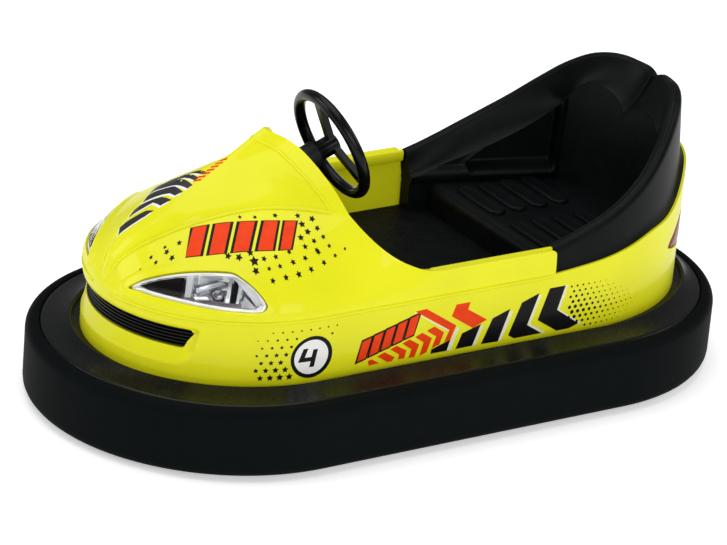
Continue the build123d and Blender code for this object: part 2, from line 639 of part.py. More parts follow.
# ---------------------------------------------------------------- dash with the column tube
tilt = radians(WHEEL_TILT)
wheel_plane = Plane(Vector(WHEEL_CENTRE[0], 0, WHEEL_CENTRE[1]), x_dir=(0, 1, 0),
                    z_dir=Vector(-sin(tilt), 0, cos(tilt)))
column_top = HUB_FRONT - HUB_LENGTH - COLUMN_GAP
column_length = (DASH_X + DASH_SKIN - WHEEL_CENTRE[0]) / sin(tilt) + column_top
with BuildPart() as dash_room:
    add(hood(WALL + DASH_FIT))
    add(body_slab(WALL + DASH_FIT, FLOOR, BELT))

with BuildPart() as dash:
    with Locations((DASH_X, 0, FLOOR + FIT)):
        Box(DASH_SKIN, DASH_WIDTH, DASH_TOP - FLOOR, align=(Align.MIN, Align.CENTER, Align.MIN))
    add(dash_room.part, mode=Mode.INTERSECT)
    with BuildSketch(wheel_plane.offset(column_top)):
        Circle(COLUMN_R)
    extrude(amount=-column_length)
    with BuildSketch(wheel_plane.offset(column_top)):
        Circle(STEM_R + AXLE_RUN)
    extrude(amount=-column_length + BORE_SHORT, mode=Mode.SUBTRACT)
export(dash.part, "dash")

# ---------------------------------------------------------------- steering wheel
with BuildPart() as steering_wheel:
    with BuildSketch(wheel_plane.offset(HUB_FRONT - HUB_LENGTH)):
        Circle(HUB_R)
    extrude(amount=HUB_LENGTH)
    fillet(steering_wheel.edges().filter_by(GeomType.CIRCLE).sort_by(Axis.X)[0], HUB_ROUND)
    with Locations(wheel_plane):
        Torus(WHEEL_RIM_R, WHEEL_TUBE_R)
    with BuildSketch(wheel_plane.offset(-SPOKE_THICK / 2)):
        with PolarLocations(0, SPOKES, start_angle=-90):
            with Locations((WHEEL_RIM_R / 2, 0)):
                Rectangle(WHEEL_RIM_R, SPOKE_WIDTH)
    extrude(amount=SPOKE_THICK)
    with BuildSketch(wheel_plane.offset(column_top + STEM_LAP)):
        Circle(STEM_R)
    extrude(amount=-column_length + STEM_SHORT)
export(steering_wheel.part, "steering_wheel")
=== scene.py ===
import bmesh
import bpy
import math
from mathutils import Matrix, Vector
from mathutils.bvhtree import BVHTree
from mathutils.geometry import delaunay_2d_cdt


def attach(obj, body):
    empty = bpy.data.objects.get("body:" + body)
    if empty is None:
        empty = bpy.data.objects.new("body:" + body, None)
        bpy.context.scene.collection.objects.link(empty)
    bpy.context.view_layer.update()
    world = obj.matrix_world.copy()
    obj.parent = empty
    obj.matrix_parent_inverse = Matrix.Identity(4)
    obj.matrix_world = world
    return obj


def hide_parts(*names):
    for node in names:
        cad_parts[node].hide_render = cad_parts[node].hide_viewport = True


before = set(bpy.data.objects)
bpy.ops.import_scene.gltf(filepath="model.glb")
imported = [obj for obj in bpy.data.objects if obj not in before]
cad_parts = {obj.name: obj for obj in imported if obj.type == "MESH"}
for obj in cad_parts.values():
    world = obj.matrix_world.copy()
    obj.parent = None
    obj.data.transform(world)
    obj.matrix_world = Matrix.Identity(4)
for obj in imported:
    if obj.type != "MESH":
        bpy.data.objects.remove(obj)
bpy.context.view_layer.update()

MM = 0.001
UP = Vector((0, 0, 1))
SIDES = ((1, "left"), (-1, "right"))

# ---------- numbers of the part, in millimetres
LENGTH, WIDTH = 120.0, 63.0             # of the rubber ring
RING_END = (LENGTH - WIDTH) / 2         # middle of each of its round ends
HALF = 23.4                             # half the body's width
NOSE_C, NOSE_RUN = 26.1, 25.6           # the nose's half ellipse: where it starts and how far it runs
TAIL_C, TAIL_RUN = -25.5, 28.8
WALL_FOOT, BELT, BEAD_TOP = 11.9, 22.2, 22.8
COCKPIT_BACK = -17.4
SHELL = 1.5                             # the body's thickness
SILL, SILL_HALF = 26.9, 23.25           # top edge of the cockpit's side: its height and half the width
SEAT_X, SEAT_Z = -20.5, 21.9            # the seat's front edge and its top
FLOOR_Z = 17.0                          # the footwell's floor


# ---------- curves
def spline(table, q):
    """Smooth curve through a table of keys, rising or falling, with places or numbers, read at q."""
    way = 1 if table[-1][0] > table[0][0] else -1
    keys = [way * k for k, _ in table]
    values = [v if isinstance(v, float) else Vector(v) for _, v in table]
    q, last = way * q, len(keys) - 1
    if q <= keys[0]:
        return values[0]
    if q >= keys[last]:
        return values[last]

    def chord(k):
        return (values[k + 1] - values[k]) / (keys[k + 1] - keys[k])

    def slope(k):
        if k in (0, last):
            return chord(min(k, last - 1))
        w = (keys[k] - keys[k - 1]) / (keys[k + 1] - keys[k - 1])
        return chord(k - 1) * (1 - w) + chord(k) * w

    i = max(k for k in range(last) if keys[k] <= q)
    h = keys[i + 1] - keys[i]
    t = (q - keys[i]) / h
    t2, t3 = t * t, t * t * t
    return (values[i] * (2 * t3 - 3 * t2 + 1) + slope(i) * h * (t3 - 2 * t2 + t)
            + values[i + 1] * (3 * t2 - 2 * t3) + slope(i + 1) * h * (t3 - t2))


def catmull(points, u):
    """Point at u on the curve through points, with u counting the points from the second one."""
    i = min(int(u), len(points) - 4)
    t = u - i
    a, b, c, d = points[i:i + 4]
    return 0.5 * (2 * b + (c - a) * t + (2 * a - 5 * b + 4 * c - d) * t * t
                  + (3 * b - a - 3 * c + d) * t ** 3)


def bezier(a, b, c, d, t):
    s = 1 - t
    return a * s ** 3 + b * 3 * s * s * t + c * 3 * s * t * t + d * t ** 3


def ellipse_table(run, half, per_degree=8):
    """Arc lengths and turns along a quarter ellipse, from the side to its end."""
    table, length, last = [], 0.0, None
    for k in range(90 * per_degree + 1):
        angle = math.radians(k / per_degree)
        spot = Vector((run * math.sin(angle), half * math.cos(angle)))
        if last is not None:
            length += (spot - last).length
        table.append((length, angle))
        last = spot
    return table


def look_up(table, value, by=0):
    """One number of the table's rows, read where the other one, number by, is value."""
    low, high = 0, len(table) - 1
    while high - low > 1:
        mid = (low + high) // 2
        low, high = (mid, high) if table[mid][by] <= value else (low, mid)
    a, b = table[low], table[high]
    return a[1 - by] + (b[1 - by] - a[1 - by]) * (value - a[by]) / (b[by] - a[by])


NOSE_TABLE = ellipse_table(NOSE_RUN, HALF)
TAIL_TABLE = ellipse_table(TAIL_RUN, HALF)
S_NOSE = NOSE_C + NOSE_TABLE[-1][0]
S_TAIL = TAIL_C - TAIL_TABLE[-1][0]


def round_end(x):
    """Direction, table, start and run of the half ellipse at that end of the car."""
    return (1, NOSE_TABLE, NOSE_C, NOSE_RUN) if x > 0 else (-1, TAIL_TABLE, TAIL_C, TAIL_RUN)


def wall(s, z=0.0, out=0.0):
    """Point on the body's outline at arc position s (x on the straight sides), moved outward by out."""
    if TAIL_C <= s <= NOSE_C:
        return Vector((s, HALF, z)) + Vector((0, 1, 0)) * out
    way, table, start, run = round_end(s)
    a = look_up(table, way * (max(S_TAIL, min(s, S_NOSE)) - start))
    p = Vector((start + way * run * math.sin(a), HALF * math.cos(a), z))
    return p + Vector((way * math.sin(a) / run, math.cos(a) / HALF, 0)).normalized() * out


def wall_normal(s):
    return (wall(s, 0, 1) - wall(s, 0, 0)).normalized()


def x_to_s(x):
    """Arc position of the outline point with that x."""
    if TAIL_C <= x <= NOSE_C:
        return x
    way, table, start, run = round_end(x)
    return start + way * look_up(table, math.asin(min(1.0, abs(x - start) / run)), by=1)


def steps(a, b, pitch):
    """Even steps from a to b, about pitch apart."""
    n = max(1, round(abs(b - a) / pitch))
    return [a + (b - a) * k / n for k in range(n + 1)]


# ---------- mesh helpers
def flipped(points):
    """The same points on the car's other side."""
    return [Vector((p.x, -p.y, p.z)) for p in points]


def both_sides(left, first=0):
    """Left side's sections, then their mirror images the other way round, from the last one back to first."""
    return left + [flipped(loop) for loop in reversed(left[first:-1])]


def add_object(name, data):
    obj = bpy.data.objects.new(name, data)
    bpy.context.scene.collection.objects.link(obj)
    return obj


class Mesh:
    """Vertices in millimetres and faces, built up from grids and loops."""

    def __init__(self):
        self.verts, self.faces = [], []

    def grid(self, rows, closed=False):
        """Joins each row of points to the next."""
        base, cols = len(self.verts), len(rows[0])
        for row in rows:
            self.verts.extend(row)
        for r in range(len(rows) - 1):
            for c in range(cols if closed else cols - 1):
                a, b = base + r * cols + c, base + r * cols + (c + 1) % cols
                self.faces.append((a, b, b + cols, a + cols))
        return self

    def sweep(self, loops, ring=False):
        """Closed sections joined in order; ends capped unless the sweep closes on itself."""
        base, n = len(self.verts), len(loops[0])
        self.grid(loops + loops[:1] if ring else loops, closed=True)
        if not ring:
            self.faces.append(tuple(range(base, base + n)))
            self.faces.append(tuple(reversed(range(len(self.verts) - n, len(self.verts)))))
        return self

    def add(self, other):
        base = len(self.verts)
        self.verts += other.verts
        self.faces += [tuple(base + k for k in f) for f in other.faces]
        return self

    def mirrored(self):
        """The same mesh on the car's other side."""
        other = Mesh()
        other.verts = flipped(self.verts)
        other.faces = [tuple(reversed(f)) for f in self.faces]
        return other

    def both(self):
        """Adds the mirror image on the car's other side."""
        return self.add(self.mirrored())

    def make(self, name, slot, material, angle=35.0, body="car", weld=0.002):
        """Object of the mesh, with doubled points merged and all faces turned outward."""
        mesh = bpy.data.meshes.new(name)
        mesh.from_pydata([Vector(v) * MM for v in self.verts], [], self.faces)
        bm = bmesh.new()
        bm.from_mesh(mesh)
        if weld:
            bmesh.ops.remove_doubles(bm, verts=bm.verts, dist=weld * MM)
            bmesh.ops.dissolve_degenerate(bm, dist=weld * MM / 4, edges=bm.edges)
        bmesh.ops.recalc_face_normals(bm, faces=bm.faces)
        bm.to_mesh(mesh)
        bm.free()
        obj = add_object(name, mesh)
        finish_mesh(obj, angle)
        if material:
            mesh.materials.append(material)
        if slot:
            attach(obj, body)
        return obj


def scaled(outline, ku, kv):
    """A flat outline scaled about its corners' middle."""
    u0, v0 = (sum(p[i] for p in outline) / len(outline) for i in (0, 1))
    return [(u0 + (u - u0) * ku, v0 + (v - v0) * kv) for u, v in outline]


def sided(mesh, side):
    """The mesh itself for the left side, its mirror image for the right."""
    return mesh if side > 0 else mesh.mirrored()


def finish_mesh(obj, angle):
    """Smooth shading, with edges sharper than angle left sharp."""
    for p in obj.data.polygons:
        p.use_smooth = True
    obj.data.set_sharp_from_angle(angle=math.radians(angle))


def bake(obj, kind, **values):
    """Changes obj by a modifier with those settings."""
    modifier = obj.modifiers.new(kind.lower(), kind)
    for key, value in values.items():
        setattr(modifier, key, value)
    graph = bpy.context.evaluated_depsgraph_get()
    mesh = bpy.data.meshes.new_from_object(obj.evaluated_get(graph))
    obj.modifiers.clear()
    obj.data = mesh


def carve(obj, cutter):
    """Cuts the closed cutter out of obj."""
    bake(obj, "BOOLEAN", operation="DIFFERENCE", solver="MANIFOLD", object=cutter)
    bpy.data.objects.remove(cutter)


def dress(obj, material):
    obj.data.materials.clear()
    obj.data.materials.append(material)


# ---------- materials
def fill(node, values):
    """Sets a node's inputs by name."""
    for name, value in values.items():
        node.inputs[name].default_value = value


class Nodes:
    """Small helper round a material's node tree."""

    def __init__(self, name, color, rough, metal=0.0, coat=0.0, coat_rough=0.03, spec=0.5, ior=1.5):
        self.mat = bpy.data.materials.new(name)
        self.mat.use_nodes = True
        self.tree = self.mat.node_tree
        self.bsdf = self.tree.nodes["Principled BSDF"]
        fill(self.bsdf, {"Base Color": (*color, 1), "Roughness": rough, "Metallic": metal,
                         "Coat Weight": coat, "Coat Roughness": coat_rough,
                         "Specular IOR Level": spec, "IOR": ior})
        self.coord = self.tree.nodes.new("ShaderNodeTexCoord").outputs["Object"]

    def node(self, kind, source, into, values):
        """New node with its inputs filled in and one of them fed by source."""
        node = self.tree.nodes.new("ShaderNode" + kind)
        fill(node, values)
        self.tree.links.new(source, node.inputs[into])
        return node

    def noise(self, scale, detail):
        return self.node("TexNoise", self.coord, "Vector", {"Scale": scale, "Detail": detail}).outputs["Fac"]

    def cells(self, scale):
        return self.node("TexVoronoi", self.coord, "Vector", {"Scale": scale}).outputs["Distance"]

    def color(self, source, stops):
        """Base colour that runs between two colours, each with its place."""
        ramp = self.node("ValToRGB", source, "Fac", {})
        for element, (place, color) in zip(ramp.color_ramp.elements, stops):
            element.position = place
            element.color = (*color, 1)
        self.tree.links.new(ramp.outputs["Color"], self.bsdf.inputs["Base Color"])

    def roughness(self, source, low, high):
        spread = self.node("MapRange", source, "Value", {"To Min": low, "To Max": high})
        self.tree.links.new(spread.outputs["Result"], self.bsdf.inputs["Roughness"])

    def bump(self, source, height, strength, coat=False):
        bump = self.node("Bump", source, "Height", {"Distance": height * MM, "Strength": strength})
        for name in ("Normal", "Coat Normal") if coat else ("Normal",):
            self.tree.links.new(bump.outputs["Normal"], self.bsdf.inputs[name])


def paint(name, color, shade):
    n = Nodes(name, color, 0.38, coat=0.22, coat_rough=0.05, spec=0.12)
    n.color(n.noise(60, 2), ((0.35, shade), (0.65, color)))
    n.bump(n.noise(220, 1), 0.006, 0.5, coat=True)
    return n.mat


def plastic(name, color, light, rough, grain, height, spec):
    n = Nodes(name, color, rough, coat_rough=0.25, spec=spec)
    n.color(n.noise(400, 4), ((0.3, color), (0.75, light)))
    n.roughness(n.noise(900, 2), rough - 0.02, rough + 0.04)
    n.bump(n.cells(grain), height, 0.6)
    return n.mat


YELLOW = paint("yellow_paint", (0.83, 0.82, 0.012), (0.78, 0.77, 0.010))
RUBBER = plastic("ring_rubber_black", (0.0035, 0.0048, 0.005), (0.0042, 0.0056, 0.006),
                 0.58, 2600, 0.012, 0.02)
DECK = plastic("deck_black", (0.0028, 0.0035, 0.0038), (0.0034, 0.0042, 0.0046), 0.26, 2400, 0.002, 0.2)
TUB = plastic("tub_black", (0.002, 0.0028, 0.003), (0.004, 0.005, 0.0055), 0.4, 2600, 0.014, 0.08)
GLOSS = plastic("gloss_black", (0.002, 0.0025, 0.0028), (0.004, 0.0045, 0.005), 0.22, 1800, 0.004, 0.18)
PAN = plastic("pan_black", (0.006, 0.007, 0.008), (0.012, 0.013, 0.015), 0.45, 1500, 0.02, 0.15)


# ---------- body skin
# Each row: the arc position on the belt that the row is joined to, the crease between fender and bonnet,
# the soft line above it, two points on the bonnet's flank, and the ridge.
CREASE = (
    (S_NOSE, *[(51.7, 0, BEAD_TOP)] * 5),
    (61.2, (50.8, 1.1, 25.1), (50.95, 0.8, 25.13), (51.0, 0.5, 25.16), (51.03, 0.25, 25.18),
     (51.05, 0, 25.2)),
    (58.2, (49.8, 1.9, 27.2), (50.0, 1.4, 27.3), (50.15, 0.9, 27.35), (50.2, 0.45, 27.4), (50.25, 0, 27.4)),
    (54.6, (47.9, 3.0, 29.3), (48.3, 2.3, 29.6), (48.5, 1.5, 29.8), (48.6, 0.8, 29.85), (48.6, 0, 29.85)),
    (50.6, (45.4, 4.2, 31.0), (45.9, 3.3, 31.5), (46.3, 2.2, 31.8), (46.5, 1.1, 31.85), (46.6, 0, 31.85)),
    (46.4, (42.6, 5.4, 32.5), (43.2, 4.4, 33.0), (43.8, 2.9, 33.6), (44.1, 1.4, 33.8), (44.2, 0, 33.85)),
    (42.0, (39.0, 6.6, 33.9), (39.7, 5.6, 34.9), (40.6, 3.8, 35.6), (41.0, 1.9, 36.05), (41.2, 0, 36.2)),
    (37.2, (35.0, 7.6, 34.9), (35.7, 6.3, 35.8), (36.8, 4.2, 36.9), (37.5, 2.1, 37.8), (37.9, 0, 38.3)),
    (32.2, (30.5, 8.4, 35.4), (31.3, 6.9, 36.4), (32.4, 4.4, 37.8), (33.3, 2.2, 39.0), (34.0, 0, 39.6)),
    (27.2, (26.2, 9.5, 35.4), (27.2, 7.4, 36.9), (28.6, 4.2, 38.8), (29.6, 1.9, 40.1), (30.8, 0, 40.7)),
    (22.4, (22.3, 11.2, 35.2), (23.6, 8.4, 37.3), (25.3, 4.7, 39.8), (26.7, 2.0, 41.3), (28.5, 0, 42.05)),
    (18.6, (19.2, 13.4, 35.0), (20.4, 10.4, 37.7), (22.3, 5.6, 40.8), (23.8, 2.5, 42.4), (26.3, 0, 43.5)),
    (16.4, (17.0, 15.0, 34.9), (18.1, 11.2, 38.4), (19.8, 6.0, 41.9), (21.4, 2.7, 43.5), (24.2, 0, 44.8)),
)
# from the crease's foot down to the sill: arc positions with their points
SWEEP = ((16.4, (17.0, 15.0, 34.9)), (15.2, (16.1, 17.2, 33.4)), (13.4, (14.2, 19.7, 31.2)),
         (11.2, (11.6, 21.4, 29.2)), (9.0, (8.9, 22.3, 27.85)), (7.2, (7.0, 22.75, 27.15)),
         (5.4, (5.2, 23.05, 26.93)), (4.0, (4.0, 23.15, SILL)), (0.0, (0.0, SILL_HALF, SILL)))
SILL_START = 4.0
SILL_END = ((-16.3, SILL), (-16.8, 26.82), (-17.15, 26.6), (-17.35, 26.25), (COCKPIT_BACK, 25.8))
# x and height of the yellow edge that the collar stands on
LEDGE = ((COCKPIT_BACK, BEAD_TOP), (-21.2, 23.15), (-25.2, 23.6), (-32.0, 24.8), (-37.1, 26.1),
         (-43.2, 27.4), (-45.5, 28.7), (-47.6, 30.5), (-50.2, 32.6), (-52.0, 33.3), (-53.6, 33.6),
         (-54.3, 33.6))


def along(table, s):
    """Height at arc position s from a table of x and height."""
    return spline([(x_to_s(x), z) for x, z in table], s)


def crease(s, row):
    """Point on one of CREASE's lines: row 0 the crease, 4 the ridge."""
    return spline([(k[0], k[1 + row]) for k in CREASE], s)


def top_line(s):
    """Top edge of the fender, of the sweep down from it and of the cockpit's side."""
    if s >= CREASE[-1][0]:
        return crease(s, 0)
    return spline(SWEEP, s) if s >= 0 else Vector((s, SILL_HALF, spline(SILL_END, s)))


def fender_point(s, t):
    """Point on the fender or cockpit side: t 0 at the belt, 1 at its top line."""
    low, high = wall(s, BEAD_TOP), top_line(s)
    rise = high.z - low.z
    out = Vector((low.x - high.x, low.y - high.y, 0))
    return bezier(low, low + UP * rise * 0.36, high + out * 0.32 - UP * rise * 0.2, high, t)


def bonnet_point(s, u):
    """Point on the bonnet: u 0 at the crease, 1 at the soft line, 4 at the ridge."""
    b, c, d, e, m = (crease(s, row) for row in range(5))
    return catmull([b * 2 - c, b, c, d, e, m, flipped([e])[0]], u)


# outline of the left headlamp's opening, on the skin
LAMP_EDGE = ((50.35, 6.2, 24.6), (49.1, 7.3, 26.0), (47.9, 8.3, 26.8), (45.6, 10.3, 27.9), (43.2, 12.1, 28.6),
             (40.8, 13.9, 29.0), (39.2, 14.95, 29.1), (37.9, 15.9, 29.05), (37.0, 17.1, 28.5),
             (35.9, 18.8, 27.5), (35.0, 20.3, 26.2), (34.7, 21.1, 25.4), (34.75, 21.45, 24.9),
             (35.2, 21.5, 24.4), (36.0, 21.3, 24.15), (38.1, 20.4, 24.15), (41.9, 18.0, 24.3),
             (45.3, 14.8, 24.5), (48.3, 10.8, 24.6), (49.7, 7.9, 24.6))
LAMP_POINTS = 100
LAMP_OUT = Vector((0.49, 0.51, 0.71))   # about the way that the left headlamp faces
GRILLE_LOW, GRILLE_HIGH = 17.2, 20.5
SCOOP_LOW, SCOOP_HIGH, SCOOP_DEEP = 14.6, 20.9, 0.8
LID_REACH, LID_LIFT = 2.4, 0.3
# height and y where the grille's opening ends, and where the scoop under it ends
GRILLE_END = ((GRILLE_LOW, 14.8), (17.35, 15.35), (17.8, 15.75), (18.6, 16.1), (19.7, 16.4), (20.2, 16.3),
              (GRILLE_HIGH, 15.8))
SCOOP_END = ((SCOOP_LOW, 13.4), (14.8, 14.3), (15.5, 15.2), (16.1, 15.9), (16.7, 16.3), (18.0, 16.5),
             (19.3, 16.75), (20.0, 16.85), (SCOOP_HIGH, 16.85))


def closed_curve(points, count):
    """Smooth closed curve through points, read at count places."""
    loop = [Vector(p) for p in points]
    loop = [loop[-1]] + loop + [loop[0], loop[1]]
    return [catmull(loop, k * len(points) / count) for k in range(count)]


lamp_edge = closed_curve(LAMP_EDGE, LAMP_POINTS)


def lamp_gap(point):
    """Distance to the left headlamp's edge."""
    return min((point - p).length for p in lamp_edge[::2])


def end_s(table, z):
    """Arc position on the nose of the end that the table gives at height z."""
    return NOSE_C + look_up(NOSE_TABLE, math.acos(min(1.0, spline(table, z) / HALF)), by=1)


def smooth_step(a, b, x):
    t = max(0.0, min(1.0, (x - a) / (b - a)))
    return t * t * (3 - 2 * t)


def scooped(s, z):
    """Wall point with the sloping scoop under the grille."""
    if not SCOOP_LOW < z < SCOOP_HIGH:
        return wall(s, z)
    fade = smooth_step(-0.1, 0.45, s - end_s(SCOOP_END, z))
    slope = min(1.0, (z - SCOOP_LOW) / (GRILLE_LOW - SCOOP_LOW), (SCOOP_HIGH - z) / 0.6)
    return wall(s, z, -SCOOP_DEEP * slope * fade)


def lidded(rows):
    """Raises the soft eyelid round the headlamp on a grid of skin points."""
    lifted = [list(row) for row in rows]
    for r, row in enumerate(rows):
        for c, p in enumerate(row):
            gap = lamp_gap(p) if p.x > 31 and p.y > 4 and p.z < 33 else LID_REACH
            if gap < LID_REACH:
                across = row[min(c + 1, len(row) - 1)] - row[max(c - 1, 0)]
                up = rows[min(r + 1, len(rows) - 1)][c] - rows[max(r - 1, 0)][c]
                n = across.cross(up)
                n = n.normalized() if n.length > 1e-6 else Vector(UP)
                if n.dot(LAMP_OUT) < 0:
                    n = -n
                share = smooth_step(1.9, 1.0, gap)
                lifted[r][c] = p + n * LID_LIFT * share * smooth_step(BEAD_TOP, 23.5, p.z)
    return lifted


hood_s = steps(S_NOSE, CREASE[-1][0], 0.36)
sweep_s = steps(CREASE[-1][0], SILL_START, 0.5)[1:]
sill_s = steps(SILL_START, SILL_END[0][0], 0.9)[1:] + [k for k, _ in SILL_END[1:]]
front_s = hood_s + sweep_s + sill_s
tail_s = steps(COCKPIT_BACK, S_TAIL, 0.8)
wall_z = [WALL_FOOT, 12.1, 13.0, 14.0, 14.5, 14.62] + steps(14.9, 21.2, 0.4) + [21.7, BELT, 22.5, BEAD_TOP]
skin = Mesh()
skin.grid([[scooped(s, z) for s in front_s + tail_s[1:]] for z in wall_z])
skin.grid(lidded([[fender_point(s, t) for s in front_s] for t in steps(0, 1, 1 / 30)]))
skin.grid([[bonnet_point(s, u) for s in hood_s] for u in steps(0, 4, 1 / 8)])
skin.grid([[wall(s, BEAD_TOP + (along(LEDGE, s) - BEAD_TOP) * t) for s in tail_s]
           for t in steps(0, 1, 1 / 12)])
body = skin.both().make("body_skin", "body_paint", None, 40, weld=0.02)

# the bare skin's surface, for everything that lies on it
surface = BVHTree.FromPolygons([v.co / MM for v in body.data.vertices],
                               [tuple(p.vertices) for p in body.data.polygons])


def drop(point, direction=-UP):
    """Point and outward normal where a ray meets the skin, or else the nearest ones."""
    hit, normal, _, _ = surface.ray_cast(point, direction)
    if hit is None:
        hit, normal, _, _ = surface.find_nearest(point)
    return hit, normal if normal.dot(direction) < 0 else -normal


LAMP_TURN = 58              # place on the lamp's loop where its upper edge meets its lower one


def opposite(k):
    """Place across the lamp from place k of its loop."""
    rest = LAMP_POINTS - LAMP_TURN
    if k <= LAMP_TURN:
        return round(LAMP_POINTS - k * rest / LAMP_TURN) % LAMP_POINTS
    return round((LAMP_POINTS - k) * LAMP_TURN / rest)


def shrunk(loop, amount):
    """The lamp's loop drawn in by amount, less where the lamp is narrow and more at its tip."""
    tip, rear = loop[0], loop[LAMP_TURN]
    axis = (rear - tip).normalized()
    reach = 3 * amount + 0.01
    result = []
    for k, p in enumerate(loop):
        across = loop[opposite(k)] - p
        shift = Vector((0, 0, 0))
        if across.length > 0.01:
            shift = across.normalized() * min(amount, across.length * 0.4)
        shift += axis * 2.2 * amount * max(0.0, 1 - (p - tip).dot(axis) / reach)
        shift -= axis * amount * max(0.0, 1 - (rear - p).dot(axis) / reach)
        result.append(p + shift)
    return result


# x and height of the tail lamp's leaf outline
TAIL_LAMP = ((-43.4, 21.2), (-45.6, 23.2), (-47.6, 24.7), (-50.0, 25.9), (-52.0, 26.6), (-53.3, 24.6),
             (-53.9, 22.6), (-52.2, 20.6), (-49.6, 19.4), (-46.4, 19.9))
TAIL_POINTS = 60


def tail_ring(scale, out):
    """The tail lamp's leaf outline on the wall, drawn in towards its middle."""
    points = closed_curve([(x_to_s(x), 0, z) for x, z in TAIL_LAMP], TAIL_POINTS)
    middle = sum(points, Vector()) / TAIL_POINTS
    return [wall(p.x, p.z, out) for p in (middle + (q - middle) * scale for q in points)]


def grille_plug(out=1.0, deep=2.6, n=60):
    """Closed block round the nose, for the grille's opening."""
    heights = steps(GRILLE_LOW, GRILLE_HIGH, 0.3)
    outline = [(z, out) for z in heights] + [(z, -deep) for z in reversed(heights)]
    ends = [end_s(GRILLE_END, z) for z, _ in outline]
    left = [[wall(end + (S_NOSE - end) * (1 - k / n), z, o) for end, (z, o) in zip(ends, outline)]
            for k in range(n + 1)]
    return Mesh().sweep([flipped(loop) for loop in reversed(left[1:])] + left)


def carve_pair(sections):
    """Cuts a closed sweep and its mirror image out of the body."""
    for side, _ in SIDES:
        carve(body, sided(Mesh().sweep(sections), side).make("plug", None, None))


bake(body, "SOLIDIFY", thickness=SHELL * MM, offset=-1.0, use_even_offset=False, use_rim=True)
carve_pair([[p + LAMP_OUT * lift for p in lamp_edge] for lift in (2.5, -3.2)])
carve(body, grille_plug().make("plug", None, None))
carve_pair([tail_ring(1.0, out) for out in (1.0, -2.6)])
finish_mesh(body, 40)
dress(body, YELLOW)
for p in body.data.polygons:
    p.material_index = 0
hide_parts("body_shell")


# ---------- rubber ring and deck
RING_INSIDE, DECK_GAP = 2.2, 0.06       # how far in the ring's upper wall ends, and the gap to the deck
DECK_LOW, DECK_UNDER, DECK_TOP = 8.4, 10.6, 11.8


def stadium(a, inset, z):
    """Point on the ring's outline at turn a (0 at the nose, pi at the tail), drawn in by inset."""
    full = WIDTH / 2
    r, straight, arc = full - inset, 2 * RING_END, math.pi / 2 * full
    run = a / math.pi * (2 * arc + straight)
    if run <= arc:
        turn = run / full
        return Vector((RING_END + r * math.cos(turn), r * math.sin(turn), z))
    if run <= arc + straight:
        return Vector((RING_END - (run - arc), r, z))
    turn = math.pi / 2 + (run - arc - straight) / full
    return Vector((-RING_END + r * math.cos(turn), r * math.sin(turn), z))


def arc_pairs(cx, cz, r, start, end, count):
    """Points on an arc, its angles in degrees."""
    turns = [math.radians(start + (end - start) * k / count) for k in range(count + 1)]
    return [(cx + r * math.cos(a), cz + r * math.sin(a)) for a in turns]


RING_PROFILE = ([(1.9, 0.6)] + arc_pairs(1.8, 2.4, 1.8, 270, 180, 6)
                + [(0.0, 5.2), (0.0, 8.0)] + arc_pairs(1.7, 10.2, 1.7, 180, 90, 9)
                + [(1.95, 11.88), (2.12, 11.8), (RING_INSIDE, 11.6), (RING_INSIDE, 1.6), (5.4, 1.6),
                   (5.4, 0.6)])
left = [[stadium(math.pi * k / 150, i, z) for i, z in RING_PROFILE] for k in range(151)]
ring = Mesh().sweep(both_sides(left, 1), ring=True).make("ring_rubber_skin", "ring_rubber", RUBBER, 40)
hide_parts("bumper_ring")


def deck_edge(s):
    """Place near the ring that the body's outline normal at s runs out to."""
    p, n = wall(s), wall_normal(s)
    low, high = 0.0, 20.0
    for _ in range(40):
        mid = (low + high) / 2
        q = p + n * mid
        reach = (q - Vector((max(-RING_END, min(RING_END, q.x)), 0, 0))).length
        low, high = (mid, high) if reach < WIDTH / 2 - RING_INSIDE - DECK_GAP else (low, mid)
    return p + n * low


def deck_section(s):
    """The deck from its outer edge up its rounded shoulder to the body's foot, and back underneath."""
    n, edge = wall_normal(s), deck_edge(s)
    inward = wall(s, 0, 1.75) - edge
    loop = [edge + UP * DECK_LOW, edge + UP * 11.5, edge + inward * 0.02 + UP * 11.7,
            edge + inward * 0.05 + UP * DECK_TOP]
    for t in (0.15, 0.3, 0.45, 0.6, 0.72, 0.82, 0.9, 0.96, 1.0):
        loop.append(edge + inward * t + UP * (DECK_TOP + 1.05 * (0.35 * t + 0.65 * t ** 2.2)))
    for out, z in ((1.6, 12.86), (1.47, 12.76), (1.38, 12.6), (1.3, 12.2), (1.2, 11.98), (1.0, WALL_FOOT),
                   (-3.8, WALL_FOOT), (-3.8, DECK_UNDER)):
        loop.append(wall(s, z, out))
    return loop + [edge - n * 1.5 + UP * DECK_UNDER, edge - n * 1.5 + UP * DECK_LOW]


left = [deck_section(s) for s in steps(S_NOSE, S_TAIL, 0.9)]
deck = Mesh().sweep(both_sides(left, 1), ring=True).make("deck_skin", "deck_plastic", DECK, 40)
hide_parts("deck")


# ---------- seat tub with its collar
# x and height of the collar's rim
RIM = ((COCKPIT_BACK, 26.9), (-20.5, 27.8), (-24.0, 29.0), (-30.7, 31.7), (-37.0, 35.1), (-42.0, 38.8),
       (-45.0, 41.2), (-47.0, 42.6), (-48.6, 43.6), (-50.0, 44.2), (-51.4, 44.6), (-52.6, 44.7),
       (-53.6, 44.5), (-54.3, 44.3))
INNER_DROP = 3.8                        # from the rim down to the slanted band's inner line
CORNER_X, CORNER_Y = -41.8, 12.6        # the seat's rear corner
SEAT_HALF = 18.4                        # half the seat's width at its front
LEAN = 1.9 / 25.8                       # how far the collar leans in for each millimetre up
TUB_LOW = 16.0


def dip(y, lobe=3.4, depth=2.4):
    """How far the rim's two lobes fall away towards the cusp between them."""
    y = abs(y)
    return 0.0 if y > lobe else depth * (1 - math.sqrt(max(0.0, 1 - ((lobe - y) / lobe) ** 2.4)))


def collar(s, z, inset):
    return wall(s, z, -(0.4 + max(0.0, z - BELT) * LEAN + inset))


